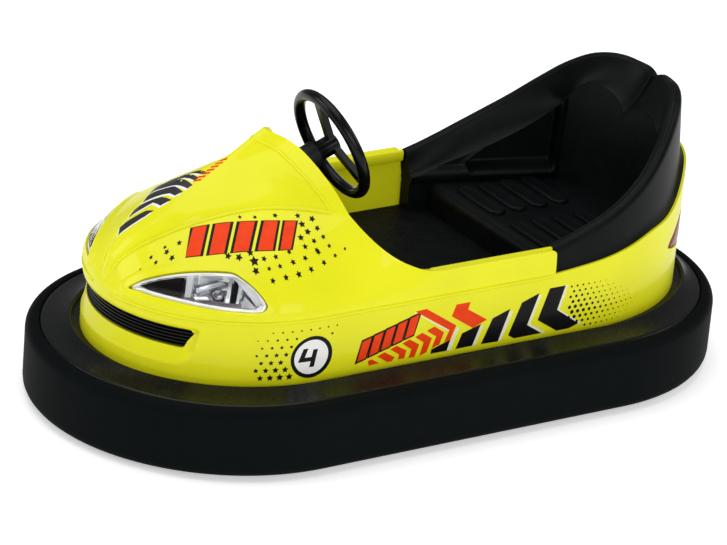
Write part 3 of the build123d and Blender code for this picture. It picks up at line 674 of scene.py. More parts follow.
def bucket(s, z):
    """Point on the seat's inner wall that belongs to the collar's section at s."""
    p = wall(s)
    lift = (z - SEAT_Z) / 26.1
    if p.x >= CORNER_X:
        t = (SEAT_X - p.x) / (SEAT_X - CORNER_X)
        side = SEAT_HALF + (CORNER_Y - SEAT_HALF) * max(-0.2, t)
        return Vector((p.x - 2.4 * lift * max(0.0, min(1.0, t)),
                       side + 2.6 * lift * (1 - 0.5 * max(0.0, t)), z))
    share = p.y / wall(x_to_s(CORNER_X)).y
    return Vector((-44.2 - 2.4 * lift + 2.4 * share * share, (CORNER_Y + 1.3 * lift) * share, z))


BACK_LINE = ((0.0, 37.4), (0.5, 37.7), (1.4, 38.5), (2.8, 39.3), (5.0, 39.85), (7.5, 39.9), (10.0, 39.2),
             (12.2, 37.2), (13.5, 35.3))


def inner_z(s):
    """Height of the line where the slanted band meets the seat's inner wall."""
    if wall(s).x >= CORNER_X:
        return along(RIM, s) - INNER_DROP
    return spline(BACK_LINE, bucket(s, 38).y)


# corners of the armrest pocket, before rounding: distance from the seat's front, and height
POCKET = ((7.6, 24.4), (21.0, 24.4), (21.0, 35.6))
POCKET_ROUND, POCKET_DEEP = 0.9, 1.9


def pocket_distance(u, z):
    """Signed distance to the armrest pocket's rounded triangle, u along the wall from the seat's front."""
    inside, best = True, 1e9
    for (ax, ay), (bx, by) in zip(POCKET, POCKET[1:] + POCKET[:1]):
        ex, ey = bx - ax, by - ay
        t = max(0.0, min(1.0, ((u - ax) * ex + (z - ay) * ey) / (ex * ex + ey * ey)))
        best = min(best, math.hypot(u - ax - ex * t, z - ay - ey * t))
        if ex * (z - ay) - ey * (u - ax) < 0:
            inside = False
    return (-best if inside else best) - POCKET_ROUND


def wall_relief(s, z):
    """How far the seat's inner wall stands out from its plain face: pocket, its lip, armrest and rib."""
    x = wall(s).x
    if x < CORNER_X - 3:
        return 0.0
    u = (SEAT_X - x) * 1.035
    d = pocket_distance(u, z)
    relief = -POCKET_DEEP * smooth_step(0.15, -0.85, d)
    relief += 0.28 * math.exp(-((d - 0.45) / 0.28) ** 2)
    if z < 24.6:
        bulge = math.sin(math.pi * max(0.0, min(1.0, (z - SEAT_Z + 0.3) / 3.0))) ** 0.7
        relief += 0.75 * bulge * smooth_step(23.5, 21.0, u)
    top = inner_z(s)
    rib = smooth_step(21.3, 21.6, u) * smooth_step(23.3, 23.0, u)
    relief += 0.45 * rib * smooth_step(SEAT_Z, SEAT_Z + 1.0, z) * smooth_step(top + 0.4, top - 0.2, z)
    return relief


# the rim's rounded lip and the groove along it: how far in, and how far below the rim
LIP = ((0.0, 0.9), (0.05, 0.6), (0.16, 0.36), (0.34, 0.16), (0.58, 0.06), (0.7, 0.11), (0.8, 0.11),
       (0.92, 0.02), (1.2, 0.0), (1.5, 0.02), (1.62, 0.11), (1.72, 0.12), (1.84, 0.05), (2.05, 0.14),
       (2.22, 0.34), (2.34, 0.62))


def tub_section(s):
    """Up the collar's outer face, over its lip, down the slanted band and the seat's inner wall."""
    rim = along(RIM, s) - dip(wall(s).y)
    ledge, line = along(LEDGE, s), inner_z(s)
    loop = [wall(s, z, out) for z, out in ((TUB_LOW, -1.8), (ledge - 0.9, -1.8), (ledge - 0.3, -0.45),
                                           (ledge, -0.4))]
    loop += [collar(s, ledge + (rim - 0.9 - ledge) * t, 0) for t in (0.08, 0.25, 0.45, 0.65, 0.82, 0.93)]
    loop += [collar(s, rim - down, inset) for inset, down in LIP]
    start, end = loop[-1], bucket(s, line)
    for t in (0.12, 0.28, 0.45, 0.62, 0.78, 0.9):
        sag = 0.5 * math.sin(math.pi * t)
        loop.append(start.lerp(end, t) - UP * sag * min(1.0, (start.z - end.z) / 3))
    toward = wall_normal(s) * -1
    loop.append(end + UP * 0.10 + toward * 0.02)
    top, foot = line - 0.16, SEAT_Z - 0.4
    split = min(25.5, top - 0.5)
    upper = [top + (split - top) * k / 18 for k in range(18)]
    lower = [split + (foot - split) * k / 15 for k in range(16)]
    loop += [bucket(s, z) + toward * wall_relief(s, z) for z in upper + lower]
    loop.append(bucket(s, foot) + UP * (TUB_LOW - SEAT_Z + 0.4))
    return loop


tub_s = steps(COCKPIT_BACK - 0.05, x_to_s(CORNER_X + 2), 0.45)
tub_s += steps(x_to_s(CORNER_X + 2), x_to_s(CORNER_X - 2.4), 0.22)[1:]
tub_s += steps(x_to_s(CORNER_X - 2.4), S_TAIL + 5, 0.6)[1:] + steps(S_TAIL + 5, S_TAIL, 0.25)[1:]
left = [tub_section(s) for s in tub_s]
tub = Mesh().sweep(both_sides(left)).make("seat_tub_skin", "seat_plastic", TUB, 42)
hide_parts("seat_tub")

# seat with its rounded front edge, over the footwell
SEAT_PROFILE = ([(-20.6, 16.2), (SEAT_X, 20.0)] + arc_pairs(-22.0, 20.4, 1.5, 0, 90, 7)
                + [(x, SEAT_Z) for x in (-24.0, -30.0, -36.0, CORNER_X, -46.0)]
                + [(-46.0, 20.8), (-23.0, 20.8), (-22.0, 20.0), (-21.8, 16.2)])


def seat_half(x, front=19.4, corner=13.7):
    """Half the seat's width at x, running a little way under the walls."""
    t = max(0.0, (SEAT_X - x) / (SEAT_X - CORNER_X))
    half = front + (corner - front) * min(t, 1.0)
    return half if x > CORNER_X else half * max(0.3, 1 - (CORNER_X - x) / 9)


seat = Mesh().sweep([[Vector((x, seat_half(x) * k / 12, z)) for x, z in SEAT_PROFILE]
                     for k in range(-12, 13)])
seat.make("seat_pan", "seat_plastic", TUB, 40)


def pad(x, y, half=4.5, end=1.5):
    """Raised rounded pad on the seat, long side across."""
    turns = [math.pi * (k + 0.5) / 12 for k in range(24)]
    rows = []
    for inset, z in ((0.0, 21.7), (0.0, 22.15), (0.07, 22.38), (0.22, 22.5), (0.4, 22.53), (0.6, 22.5),
                     (0.8, 22.46), (1.1, 22.45)):
        r = end - inset
        rows.append([Vector((x + r * math.cos(a), y + math.copysign(half, math.sin(a)) + r * math.sin(a), z))
                     for a in turns])
    return Mesh().sweep(rows)


pads = Mesh()
for row in range(4):
    for side, _ in SIDES:
        pads.add(pad(-24.2 - 4.2 * row, side * 7.8))
pads.make("seat_pads", "seat_plastic", TUB, 50)


# ---------- lamps
def clear(name, color, rough, through, ior):
    n = Nodes(name, color, rough, ior=ior)
    fill(n.bsdf, {"Transmission Weight": through})
    n.roughness(n.noise(300, 2), rough, rough + 0.04)
    return n.mat


def shine(name, color, rough, cell, height, low, metal):
    n = Nodes(name, color, rough, metal=metal)
    n.color(n.noise(260, 2), ((0.42, tuple(c * low for c in color)), (0.58, color)))
    n.bump(n.cells(cell), height, 1.0)
    return n.mat


# bowl and bulb: chrome darkened, with darker patches, as painted dark reflection
LAMP_METAL_PAINTED_DARK = shine("lamp_chrome", (0.3, 0.3, 0.32), 0.14, 420, 0.05, 0.5, 0.7)
# rim and strip along the lamp's upper edge: chrome painted near white and mostly not metallic, as painted
# highlight
EDGE_METAL_PAINTED_HIGHLIGHT = shine("edge_chrome_painted_highlight", (0.97, 0.97, 0.98), 0.16, 100, 0.01, 0.9, 0.2)
# facets: chrome painted near white, as painted highlights
FACET_METAL_PAINTED_HIGHLIGHT = shine("facet_chrome_painted_highlight", (0.97, 0.98, 1.0), 0.1, 600, 0.06, 0.55, 0.45)
# strip along the lamp's lower edge: chrome painted dark, as painted shade
BAND_METAL_PAINTED_SHADE = shine("band_chrome_painted_shade", (0.12, 0.095, 0.105), 0.25, 200, 0.02, 0.8, 0.3)
CLEAR = clear("clear_lens", (0.98, 0.99, 1.0), 0.0, 1.0, 1.12)
RED = clear("red_lens", (0.17, 0.004, 0.004), 0.2, 0.0, 1.13)
CHAMBER_BLACK = plastic("chamber_black", (0.006, 0.005, 0.005), (0.012, 0.01, 0.01), 0.4, 900, 0.01, 0.05)

# outlines inside the lamp: share of its length from the tip, share across it from the upper edge
CHAMBERS = (
    (((0.08, 0.35), (0.13, 0.16), (0.24, 0.1), (0.395, 0.07), (0.4, 0.76), (0.3, 0.75), (0.17, 0.72)),
     -1.6, -0.55),
    (((0.74, 0.14), (0.77, 0.18), (0.77, 0.7), (0.74, 0.72)), -2.0, -0.6),
)
FACETS = (
    ((0.41, 0.05), (0.46, 0.04), (0.465, 0.74), (0.42, 0.75)),
    ((0.49, 0.14), (0.59, 0.04), (0.69, 0.05), (0.66, 0.18), (0.5, 0.34)),
    ((0.49, 0.46), (0.66, 0.22), (0.69, 0.3), (0.58, 0.46), (0.5, 0.6)),
    ((0.48, 0.72), (0.58, 0.66), (0.6, 0.74), (0.5, 0.8)),
    ((0.705, 0.12), (0.73, 0.12), (0.735, 0.74), (0.71, 0.76)),
    ((0.78, 0.2), (0.805, 0.24), (0.8, 0.7), (0.78, 0.72)),
    ((0.83, 0.42), (0.93, 0.74), (0.82, 0.78)),
    ((0.1, 0.3), (0.15, 0.2), (0.13, 0.26)),
)
LAMP_TIP, LAMP_REAR = lamp_edge[0], lamp_edge[LAMP_TURN]
LAMP_ALONG = (LAMP_REAR - LAMP_TIP).normalized()
LAMP_UP = LAMP_OUT.cross(LAMP_ALONG).normalized()


def lamp_loop(shrink, lift):
    return [p + LAMP_OUT * lift for p in shrunk(lamp_edge, shrink)]


def layer(point):
    """The point moved onto the skin along the lamp's own direction."""
    return drop(point + LAMP_OUT * 6, -LAMP_OUT)[0]


def across_lamp(trim, top, low):
    """Closed sections across the lamp between two layers that follow the skin."""
    loop = shrunk(lamp_edge, trim)
    sections = []
    for k in range(2, LAMP_TURN - 1):
        far = LAMP_POINTS - k * (LAMP_POINTS - LAMP_TURN) / LAMP_TURN
        end = loop[int(far)].lerp(loop[(int(far) + 1) % LAMP_POINTS], far - int(far))
        spots = [(layer(loop[k].lerp(end, i / 12)), i / 12) for i in range(13)]
        sections.append([p + LAMP_OUT * top(t) for p, t in spots]
                        + [p + LAMP_OUT * low(t) for p, t in spots[::-1]])
    return sections


def bowl_depth(t):
    return -0.75 - 1.4 * math.sin(math.pi * t) ** 0.6 if 0 < t < 1 else -0.75


def edge_at(share, places):
    """Point on the lamp's edge at a share of its length from the tip."""
    reach = share * (LAMP_REAR - LAMP_TIP).length
    spots = [lamp_edge[k % LAMP_POINTS] for k in places]
    for p, q in zip(spots, spots[1:]):
        here, there = (p - LAMP_TIP).dot(LAMP_ALONG), (q - LAMP_TIP).dot(LAMP_ALONG)
        if here != there and min(here, there) <= reach <= max(here, there):
            return p.lerp(q, (reach - here) / (there - here))
    return spots[-1]


def inside(share, across, lift, shift=Vector((0, 0, 0))):
    """Spot in the lamp: share of its length, share across it from the upper edge, lift off the skin."""
    upper = edge_at(share, range(LAMP_TURN + 1))
    lower = edge_at(share, range(LAMP_POINTS, LAMP_TURN - 1, -1))
    return layer(upper.lerp(lower, across) + shift) + LAMP_OUT * lift


def prism(outline, low, high):
    """Block in the lamp with a softened top."""
    levels = ((1.0, low), (1.0, high - 0.2), (0.9, high - 0.05), (0.6, high), (0.2, high))
    return Mesh().sweep([[inside(*place, lift) for place in scaled(outline, k, k)] for k, lift in levels])


def strip(places, near, far, top, low):
    """Block along the lamp's edge, from near in to far in, which may change from place to place."""
    return Mesh().sweep([[lamp_loop(near, top)[k], lamp_loop(far(k), -0.5)[k], lamp_loop(far(k), low)[k],
                          lamp_loop(near, low)[k]] for k in places])


def bulb():
    rows = []
    for r, lift in ((0.95, -2.0), (0.95, -1.0), (0.8, -0.75), (0.6, -0.62), (0.3, -0.56), (0.1, -0.55)):
        rows.append([inside(0.645, 0.56, lift, LAMP_ALONG * (r * math.cos(k * math.pi / 12))
                            + LAMP_UP * (r * math.sin(k * math.pi / 12))) for k in range(24)])
    return Mesh().sweep(rows)


rim_rows = [lamp_loop(shrink, lift) for shrink, lift in (
    (0.2, -1.2), (0.18, -0.25), (0.23, -0.06), (0.34, 0.04), (0.52, 0.07), (0.72, 0.0), (0.85, -0.15),
    (0.9, -0.5), (0.9, -1.2))]
chamber, facets = Mesh(), Mesh()
for outline, low, high in CHAMBERS:
    chamber.add(prism(outline, low, high))
for outline in FACETS:
    facets.add(prism(outline, -2.0, -0.52))
bowl = Mesh().sweep(across_lamp(0.35, bowl_depth, lambda t: bowl_depth(t) - 0.5))
LAMP_PARTS = (
    ("rim", Mesh().grid([row + row[:1] for row in rim_rows + rim_rows[:1]]), EDGE_METAL_PAINTED_HIGHLIGHT, 50),
    ("bowl", bowl, LAMP_METAL_PAINTED_DARK, 25),
    ("chamber", chamber, CHAMBER_BLACK, 25),
    # band: dark strip along the lamp's lower edge, painted shade
    ("band", strip(range(64, 98), 0.95, lambda k: 1.7, -0.46, -0.9), BAND_METAL_PAINTED_SHADE, 40),
    # shoulder: bright strip along the lamp's upper edge, painted highlight
    ("shoulder", strip(range(24, 61), 0.9, lambda k: 1.2 + 0.8 * smooth_step(24, 42, k), -0.45, -0.95),
     EDGE_METAL_PAINTED_HIGHLIGHT, 40),
    ("facets", facets, FACET_METAL_PAINTED_HIGHLIGHT, 25),
    ("bulb", bulb(), LAMP_METAL_PAINTED_DARK, 40),
    ("glass", Mesh().sweep(across_lamp(0.85, lambda t: -0.12, lambda t: -0.42)), CLEAR, 40),
)
for side, hand in SIDES:
    for part, mesh, material, angle in LAMP_PARTS:
        slot = "clear_lens" if material is CLEAR else "lamp_chrome"
        sided(mesh, side).make("headlamp_" + part + "_" + hand, slot, material, angle)
    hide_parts("headlamp_lens_" + hand)
    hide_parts("headlamp_reflector_" + hand)

# scale of the tail lamp's outline and how far out it lies
TAIL_GLASS = ((0.01, -0.9), (0.5, -0.9), (0.97, -0.9), (0.975, -0.3), (0.94, -0.12), (0.88, -0.03),
              (0.7, 0.03), (0.4, 0.05), (0.15, 0.05), (0.01, 0.05))
TAIL_BACKING = ((0.01, -2.4), (0.5, -2.4), (0.98, -2.4), (0.98, -1.2), (0.9, -1.15), (0.5, -1.15),
                (0.01, -1.15))


def tail_piece(levels, side, name, slot, material):
    """Closed piece of the tail lamp from its outline at each level."""
    return sided(Mesh().sweep([tail_ring(*level) for level in levels]), side).make(name, slot, material, 40)


for side, hand in SIDES:
    glass = tail_piece(TAIL_GLASS, side, "tail_glass_" + hand, "red_lens", RED)
    tail_piece(TAIL_BACKING, side, "tail_backing_" + hand, "lamp_chrome", CHAMBER_BLACK)
    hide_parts("tail_lamp_" + hand)


# ---------- grille
RIBS, GRILLE_BACK_X = 6, 43.0
GRILLE_PITCH = (GRILLE_HIGH - GRILLE_LOW) / RIBS
# each rib's section: height from its foot, and how far out of the body's outline
RIB = ((0.0, -1.3), (0.12, -1.25), (0.17, -0.95), (0.25, -0.85), (0.4, -0.85), (0.48, -0.95), (0.53, -1.25))
profile = [(GRILLE_LOW + 0.02 + rib * GRILLE_PITCH + up, out) for rib in range(RIBS) for up, out in RIB]
profile += [(GRILLE_HIGH - 0.02, -1.3), (GRILLE_HIGH + 0.5, -1.6), (GRILLE_HIGH + 0.5, -2.4),
            (GRILLE_LOW - 0.5, -2.4), (GRILLE_LOW - 0.5, -1.6)]
left = [[wall(s, z, out) for z, out in profile] for s in steps(x_to_s(GRILLE_BACK_X), S_NOSE, 0.5)]
ribs = Mesh().sweep(both_sides(left)).make("grille_ribs", "grille_plastic", GLOSS, 35)
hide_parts("grille")


# ---------- raised lines on the skin
BEAD_WIDTH, BEAD_SINK = 0.6, 0.25
COWL_S = CREASE[-2][0]                  # the row of the skin that the cowl line follows


def bead(points, normals, height):
    """Half-round raised line as closed sections along the points, its ends tapered."""
    loops = []
    for k, (p, n) in enumerate(zip(points, normals)):
        ahead = points[min(k + 1, len(points) - 1)] - points[max(k - 1, 0)]
        across = ahead.cross(n).normalized() * BEAD_WIDTH / 2
        ends = min(1.0, 0.25 + k / 3, 0.25 + (len(points) - 1 - k) / 3)
        half = ((1.0, -BEAD_SINK), (1.0, -0.02), (0.72, height * 0.75 * ends), (0.3, height * ends))
        loops.append([p - across * a + n * up for a, up in half]
                     + [p + across * a + n * up for a, up in half[::-1]])
    return Mesh().sweep(loops)


def calmed(vectors, rounds=6):
    """The same run of vectors with its small wobbles averaged out."""
    for _ in range(rounds):
        vectors = ([vectors[0]] + [(a + b * 2 + c) / 4 for a, b, c in zip(vectors, vectors[1:], vectors[2:])]
                   + [vectors[-1]])
    return vectors


def on_skin(points):
    """Nearest places on the skin, with their outward normals."""
    spots, normals = [], []
    for p in points:
        hit, normal, _, _ = surface.find_nearest(p)
        outward = Vector((max(0, hit.x - 30), hit.y, hit.z - 15))
        spots.append(hit)
        normals.append(normal if normal.dot(outward) > 0 else -normal)
    return spots, normals


def lines(name, points, height):
    """Raised line on the skin and its mirror image."""
    spots, normals = on_skin(points)
    one = bead(calmed(spots), [n.normalized() for n in calmed(normals)], height)
    one.both().make(name, "body_paint", YELLOW, 50)


lines("belt_line", [wall(s, 22.55) for s in steps(S_NOSE - 2.6, -17.2, 0.7)], 0.3)
lines("crease_line", [crease(s, 0) for s in steps(60.6, COWL_S, 0.6)], 0.3)
lines("cowl_line", [bonnet_point(COWL_S, u) for u in steps(3.98, 0.05, 0.1)], 0.2)

# thicker lip along the inside of the cockpit's top edge
SILL_LIP = ((-1.3, 26.86), (-1.6, 26.88), (-1.95, 26.82), (-2.1, 26.6), (-2.12, 25.4), (-1.95, 25.05),
            (-1.6, 24.95), (-1.3, 24.95))
lip = Mesh().sweep([[wall(s, z, out) for out, z in SILL_LIP] for s in steps(-17.2, 5.5, 1.0)])
lip.both().make("sill_lip", "body_paint", YELLOW, 40)

# footwell
FLOOR_PROFILE = ((-20.6, 15.8), (-20.6, FLOOR_Z), (-10.0, FLOOR_Z), (5.0, FLOOR_Z), (21.5, FLOOR_Z),
                 (21.9, 16.8), (21.9, 15.8))
PIMPLED = plastic("footwell_black", (0.0025, 0.003, 0.0035), (0.005, 0.0055, 0.006), 0.5, 1100, 0.12, 0.05)
well = Mesh().sweep([[Vector((x, y, z)) for x, z in FLOOR_PROFILE] for y in steps(-21.7, 21.7, 1.5)])
well.make("footwell", "seat_plastic", PIMPLED, 40)


# ---------- printed pattern
def ink(name, color, shade):
    n = Nodes(name, color, 0.3, coat=0.05, coat_rough=0.05, spec=0.08)
    n.color(n.noise(500, 3), ((0.35, shade), (0.65, color)))
    return n.mat


INKS = {"black": ink("ink_black", (0.004, 0.004, 0.005), (0.006, 0.006, 0.007)),
        "orange": ink("ink_orange", (0.86, 0.055, 0.003), (0.80, 0.045, 0.003)),
        "cream": ink("ink_cream", (0.85, 0.85, 0.66), (0.80, 0.80, 0.62)),
        "white": ink("ink_white", (0.9, 0.9, 0.88), (0.86, 0.86, 0.84)),
        "grey": ink("ink_grey", (0.035, 0.033, 0.036), (0.045, 0.043, 0.045))}

SHEET_SINK = 0.12                       # how far a printed sheet's underside lies under the skin


def patch(mesh, outline, place, lift, pitch=0.8):
    """Adds a thin closed sheet over a flat outline, laid where place puts it."""
    corners = [Vector(p[:2]) for p in outline]
    rim = []
    for a, b in zip(corners, corners[1:] + corners[:1]):
        parts = max(1, round((b - a).length / pitch))
        rim += [a + (b - a) * (j / parts) for j in range(parts)]
    inner = [Vector((u, v)) for u in steps(min(p.x for p in rim), max(p.x for p in rim), pitch)[1:-1]
             for v in steps(min(p.y for p in rim), max(p.y for p in rim), pitch)[1:-1]]
    inner = [q for q in inner if min((q - p).length for p in rim) > pitch * 0.5]
    edges = [(k, (k + 1) % len(rim)) for k in range(len(rim))]
    flat, _, tris, _, _, _ = delaunay_2d_cdt(rim + inner, edges, [], 1, 0.0001)
    base, n = len(mesh.verts), len(flat)
    spots = [place(p.x, p.y) for p in flat]
    for height in (lift, -SHEET_SINK):
        mesh.verts += [p + normal * height for p, normal in spots]
    border = {}
    for tri in tris:
        mesh.faces.append(tuple(base + k for k in tri))
        mesh.faces.append(tuple(base + n + k for k in reversed(tri)))
        for a, b in zip(tri, tri[1:] + tri[:1]):
            if (b, a) in border:
                del border[(b, a)]
            else:
                border[(a, b)] = True
    for a, b in border:
        mesh.faces.append((base + b, base + a, base + n + a, base + n + b))


def on_side(s, z):
    """Place on the side and its outward normal; on_top does the same for a place seen from above."""
    return wall(s, z), wall_normal(s)


def on_top(x, y):
    return drop(Vector((x, y, 60)))


def disc(u, v, r, count=40, squash=1.0):
    turns = [2 * math.pi * k / count for k in range(count)]
    return [(u + r * math.cos(a), v + r * squash * math.sin(a)) for a in turns]


def star(u, v, r, turn):
    """Five-pointed star, as wide inside as half its reach."""
    points = [(r if k % 2 == 0 else r * 0.5, turn + math.pi * k / 5) for k in range(10)]
    return [(u + reach * math.cos(a), v + reach * math.sin(a)) for reach, a in points]


def printed(name, color, shapes, place, lift, pitch=0.8):
    """One colour's shapes; those on the side are mirrored to the car's other side."""
    mesh = Mesh()
    for shape in shapes:
        patch(mesh, shape, place, lift, pitch)
    if place is on_side:
        mesh.both()
    mesh.make(name, "body_paint", INKS[color], 30, weld=0)


# arc position and height of each corner on the side, x and y for the patterns on top
CHEVRONS = (
    ((17.0, 13.8), (16.3, 14.0), (14.8, 13.1), (16.7, 13.0)),
    ((15.3, 14.3), (14.0, 14.8), (12.0, 13.6), (12.5, 13.0), (13.3, 13.0)),
    ((13.0, 15.1), (11.8, 15.5), (9.9, 14.4), (10.2, 13.1), (11.4, 13.1), (11.2, 13.9)),
    ((10.8, 15.7), (9.5, 16.2), (7.6, 15.0), (8.3, 13.0), (9.4, 13.0), (9.0, 14.4)),
    ((8.5, 16.4), (7.2, 16.9), (5.3, 15.7), (6.1, 13.4), (7.4, 13.0), (6.8, 15.2)),
    ((6.4, 17.1), (5.0, 17.6), (3.1, 16.3), (3.8, 14.3), (5.2, 13.9), (4.5, 15.8)),
    ((8.8, 20.8), (6.8, 20.9), (0.9, 17.1), (1.8, 14.8), (2.9, 14.6), (2.1, 16.5)),
    ((1.2, 20.7), (-1.4, 20.7), (-1.1, 19.5), (-4.9, 17.1), (-2.3, 16.1), (1.9, 18.8)),
)
BLACK_CHEVRONS = (
    ((5.2, 13.7), (1.8, 14.8), (2.3, 13.0), (5.3, 13.0)),
    ((-0.4, 15.5), (-3.8, 16.5), (-2.5, 13.0), (0.6, 13.0)),
    ((-6.0, 17.1), (-9.2, 18.2), (-7.4, 12.9), (-4.2, 13.0)),
    ((-11.4, 18.9), (-14.6, 20.0), (-12.8, 14.8), (-15.8, 12.9), (-10.5, 12.9), (-9.3, 13.6)),
    ((-16.6, 20.5), (-19.6, 20.5), (-18.4, 16.5), (-22.9, 13.4), (-21.1, 12.8), (-18.7, 12.8), (-14.8, 15.3)),
)
CREAM_EDGES = (
    ((0.8, 16.8), (0.3, 16.5), (1.6, 12.9), (2.3, 13.0)),
    ((9.0, 20.7), (8.9, 20.5), (2.3, 16.3), (2.1, 16.5)),
    ((-9.2, 17.8), (-9.8, 17.7), (-8.0, 13.0), (-7.3, 12.9)),
    ((-3.8, 16.3), (-4.3, 16.1), (-3.1, 13.0), (-2.5, 12.9)),
    ((-14.6, 19.8), (-15.1, 19.7), (-13.4, 14.9), (-16.4, 13.0), (-15.8, 12.8), (-12.8, 14.7)),
    ((-19.6, 20.5), (-20.1, 20.5), (-18.9, 16.4), (-23.5, 13.3), (-22.9, 13.2), (-18.4, 16.4)),
)
printed("side_cream", "cream", CREAM_EDGES, on_side, 0.02)
printed("side_orange", "orange", CHEVRONS, on_side, 0.035)
printed("side_black", "black", BLACK_CHEVRONS, on_side, 0.045)

# slanted bars between roundel and chevrons, each a step back and up from the last
BARS = 5
bars = []
for k in range(BARS):
    s0, z0 = 19.0 - k * 2.15, 14.0 + k * 0.62
    bars.append([(s0, z0), (s0 - 1.55, z0 + 0.45), (s0 - 2.35, z0 + 3.75), (s0 - 0.75, z0 + 3.3)])
printed("bars_edge", "black", [scaled(bar, 1.34, 1.2) for bar in bars], on_side, 0.03)
printed("bars_face", "orange", bars, on_side, 0.05)

# roundel with a plain numeral: middles of its black edge and its white face
EDGE_S, EDGE_Z = 27.3, 16.35
FACE_S, FACE_Z = 27.4, 16.4
printed("roundel_edge", "black", [disc(EDGE_S, EDGE_Z, 3.6, 48, 0.97)], on_side, 0.05)
printed("roundel_face", "white", [disc(FACE_S, FACE_Z, 2.95, 48, 0.97)], on_side, 0.07)
NUMERAL = (((28.9, 17.9), (28.1, 17.9), (28.6, 16.4), (27.0, 16.4), (26.8, 15.7), (29.7, 15.7)),
           ((27.2, 17.6), (26.4, 17.6), (26.9, 14.7), (27.7, 14.7)))
numeral, reverse = Mesh(), Mesh()
for shape in NUMERAL:
    patch(numeral, shape, on_side, 0.09)
    patch(reverse, [(2 * FACE_S - u, v) for u, v in shape], on_side, 0.09)
numeral.add(reverse.mirrored()).make("roundel_numeral", "body_paint", INKS["black"], 30, weld=0)

# stars round the roundel, and halftone dots towards the tail
stars = []
for row in range(7):
    for col in range(9):
        s = 35.6 - col * 1.55 + (row % 2) * 0.75
        z = 13.5 + row * 1.25
        if (s - EDGE_S) ** 2 + (z - EDGE_Z) ** 2 < 4.1 ** 2 or s < 20.6 or (s < 23.5 and z < 18.6):
            continue
        size = 0.5 - 0.055 * row - 0.03 * max(0, s - 33)
        if size > 0.1 and s - 20 > (z - 21) * 0.5:
            stars.append(star(s, z, size * 1.25, 0.3) if size > 0.28 else disc(s, z, size * 0.85, 8))
printed("side_stars", "black", stars, on_side, 0.03, pitch=2)
dots = []
for row in range(9):
    for col in range(15):
        s = -18.6 - col * 1.12 - (row % 2) * 0.56
        z = 12.9 + row * 0.9
        size = 0.36 - 0.021 * abs(s + 21.5) - 0.035 * abs(z - 15.5)
        if size > 0.06 and not (s > -24 and z < 13.6) and not (s > -20.8 and z > 14):
            dots.append(disc(s, z, size, 8))
printed("side_dots", "black", dots, on_side, 0.03, pitch=2)

# slashes over the bonnet's ridge
SLASHES = (
    ((47.3, -2.6), (44.2, -0.3), (43.6, 0.9), (44.9, 0.5), (48.3, -1.2)),
    ((44.3, -3.6), (41.7, -0.1), (41.1, 1.8), (42.6, 1.2), (42.9, -0.6), (45.8, -2.6)),
    ((41.9, -3.8), (39.6, 0.0), (39.2, 1.9), (40.4, 1.6), (40.7, 0.5), (43.3, -3.0)),
    ((39.8, -4.9), (38.2, -0.6), (37.5, 1.8), (38.4, 1.9), (39.3, 0.1), (41.6, -4.1)),
    ((38.3, -3.2), (36.8, -0.5), (36.1, 1.2), (36.9, 1.3), (37.6, 0.0), (39.8, -3.8)),
    ((36.7, -1.2), (35.1, -0.1), (34.6, 0.8), (35.3, 0.9), (35.6, 0.6), (37.7, -2.1)),
)
printed("slash_white", "white", [[(x + 0.35, y + 0.12) for x, y in shape] for shape in SLASHES], on_top,
        0.025)
printed("slash_black", "grey", SLASHES, on_top, 0.045)
SHORT = [[(x, y), (x + 1.1, y - 0.4), (x + 1.4, y - 0.2), (x + 0.3, y + 0.2)]
         for x, y in ((30.5 + 0.88 * k, 0.2 + 0.23 * k) for k in range(7))]
printed("slash_orange", "orange", SHORT, on_top, 0.05)

# fender pattern: small stars, each with x, y and its reach, round a row of slanted bars
FENDER_STARS = (
    (48.5, 6.2, 0.15), (46.7, 6.2, 0.28), (46.5, 7.4, 0.3), (44.6, 6.6, 0.25), (44.7, 7.4, 0.4),
    (44.5, 8.7, 0.42), (42.7, 7.6, 0.38), (37.5, 13.5, 0.5), (36.1, 14.4, 0.55), (34.2, 14.5, 0.5),
    (34.2, 15.8, 0.72), (34.6, 17.1, 0.55), (32.6, 16.0, 0.42), (32.5, 17.5, 0.32), (30.7, 16.3, 0.4),
    (30.7, 17.7, 0.36), (28.3, 16.2, 0.38), (28.4, 17.7, 0.42), (32.7, 19.1, 0.4), (30.5, 19.3, 0.42),
    (28.3, 19.4, 0.46), (26.0, 19.2, 0.42), (23.5, 18.8, 0.38), (26.2, 17.6, 0.4), (23.7, 17.3, 0.4),
    (33.0, 8.9, 0.3), (30.8, 9.7, 0.32), (27.6, 10.4, 0.4), (24.2, 11.5, 0.42), (22.3, 12.7, 0.48),
    (24.2, 12.9, 0.52), (22.2, 14.2, 0.42), (23.9, 14.2, 0.5), (21.9, 15.6, 0.36), (25.4, 14.7, 0.5),
    (23.6, 15.7, 0.4), (25.4, 16.1, 0.42), (23.8, 17.0, 0.38), (21.6, 17.0, 0.3), (19.4, 18.1, 0.22),
    (21.3, 18.4, 0.3))
BAR_TOP = ((40.9, 6.6), (37.0, 8.3), (32.6, 9.9), (28.1, 11.2), (24.6, 12.3))
BAR_LOW = ((42.9, 10.0), (39.1, 12.3), (34.8, 14.0), (30.3, 15.4), (26.8, 16.1))


def bar_row(points, t):
    return spline(list(enumerate(points)), t)


def fender_bar(k, grow):
    """Outline of one slanted bar, widened by grow."""
    low, top = [], []
    for t in (k * 0.8 - grow, k * 0.8 + 0.5 + grow):
        foot, head = bar_row(BAR_LOW, t), bar_row(BAR_TOP, t + 0.22)
        rise = (head - foot).normalized() * grow * 1.2
        low.append(foot - rise)
        top.append(head + rise)
    return low + top[::-1]


printed("fender_stars", "black", [star(x, y, r * 1.12, 0.4 + x) for x, y, r in FENDER_STARS], on_top, 0.03,
        pitch=2)
printed("fender_bars_edge", "black", [fender_bar(k, 0.1) for k in range(BARS)], on_top, 0.035)
printed("fender_bars_face", "orange", [fender_bar(k, 0.0) for k in range(BARS)], on_top, 0.055)


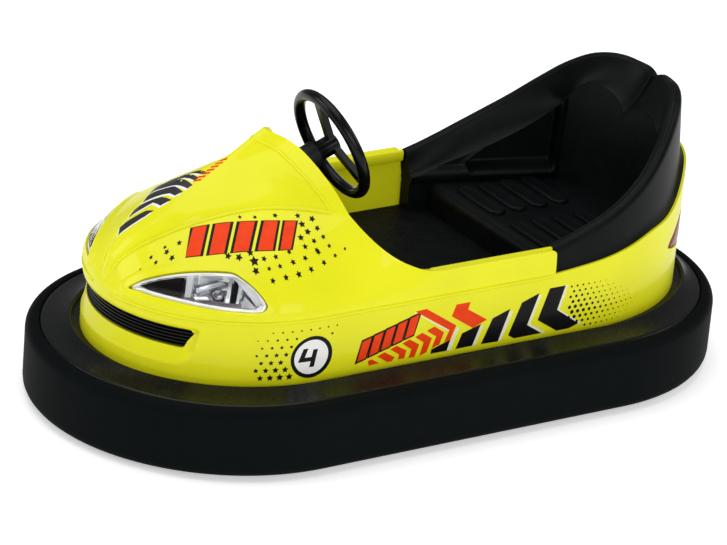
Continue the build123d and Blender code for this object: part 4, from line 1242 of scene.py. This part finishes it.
# ---------- camera, floor and light
# the photo's camera, in metres, degrees and millimetres of lens
AIM, DISTANCE = (0.00079, -0.00362, 0.015), 0.64467
AZIMUTH, ELEVATION, ROLL = (math.radians(a) for a in (145.73, 23.35, 5.0))
SENSOR, LENS = 36, 197.824704


def camera():
    data = bpy.data.cameras.new("camera")
    data.sensor_width, data.lens, data.clip_start = SENSOR, LENS, 0.01
    obj = add_object("camera", data)
    turn = (Matrix.Rotation(AZIMUTH, 4, "Z") @ Matrix.Rotation(math.pi / 2 - ELEVATION, 4, "X")
            @ Matrix.Rotation(ROLL, 4, "Z"))
    obj.matrix_world = Matrix.Translation(AIM) @ turn @ Matrix.Translation((0, 0, DISTANCE))
    bpy.context.scene.camera = obj


def softbox(name, place, height, size, power):
    """Area light that faces the middle of the car at a height above the floor, in metres."""
    data = bpy.data.lights.new(name, "AREA")
    data.energy = power
    data.shape = "RECTANGLE"
    data.size, data.size_y = size
    obj = add_object(name, data)
    obj.location = place
    obj.rotation_euler = (Vector((0, 0, height)) - Vector(place)).to_track_quat("-Z", "Y").to_euler()


camera()
bpy.ops.mesh.primitive_plane_add(size=6)
floor = bpy.context.object
floor.name = "floor"
paper = Nodes("paper", (0.92, 0.92, 0.92), 0.7, spec=0.1)
fill(paper.bsdf, {"Emission Color": (1, 1, 1, 1), "Emission Strength": 0.42})
paper.color(paper.noise(8, 2), ((0.3, (0.91, 0.91, 0.91)), (0.7, (0.93, 0.93, 0.93))))
floor.data.materials.append(paper.mat)
softbox("top", (0.05, -0.1, 0.8), 0, (0.9, 0.7), 4)
softbox("nose_side", (0.75, -0.45, 0.45), 0.02, (0.5, 0.5), 2.4)
softbox("tail_side", (-0.8, 0.25, 0.5), 0.02, (0.4, 0.5), 1.2)
softbox("left_side", (0.15, 0.85, 0.4), 0.02, (0.9, 0.45), 3.6)
world = bpy.data.worlds.new("studio")
bpy.context.scene.world = world
world.use_nodes = True
fill(world.node_tree.nodes["Background"], {"Color": (1, 1, 1, 1), "Strength": 0.2})
bpy.context.scene.view_settings.view_transform = "Standard"

# plain finish for the carried-over nodes
for node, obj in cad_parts.items():
    dress(obj, GLOSS if "wheel" in node else PAN)
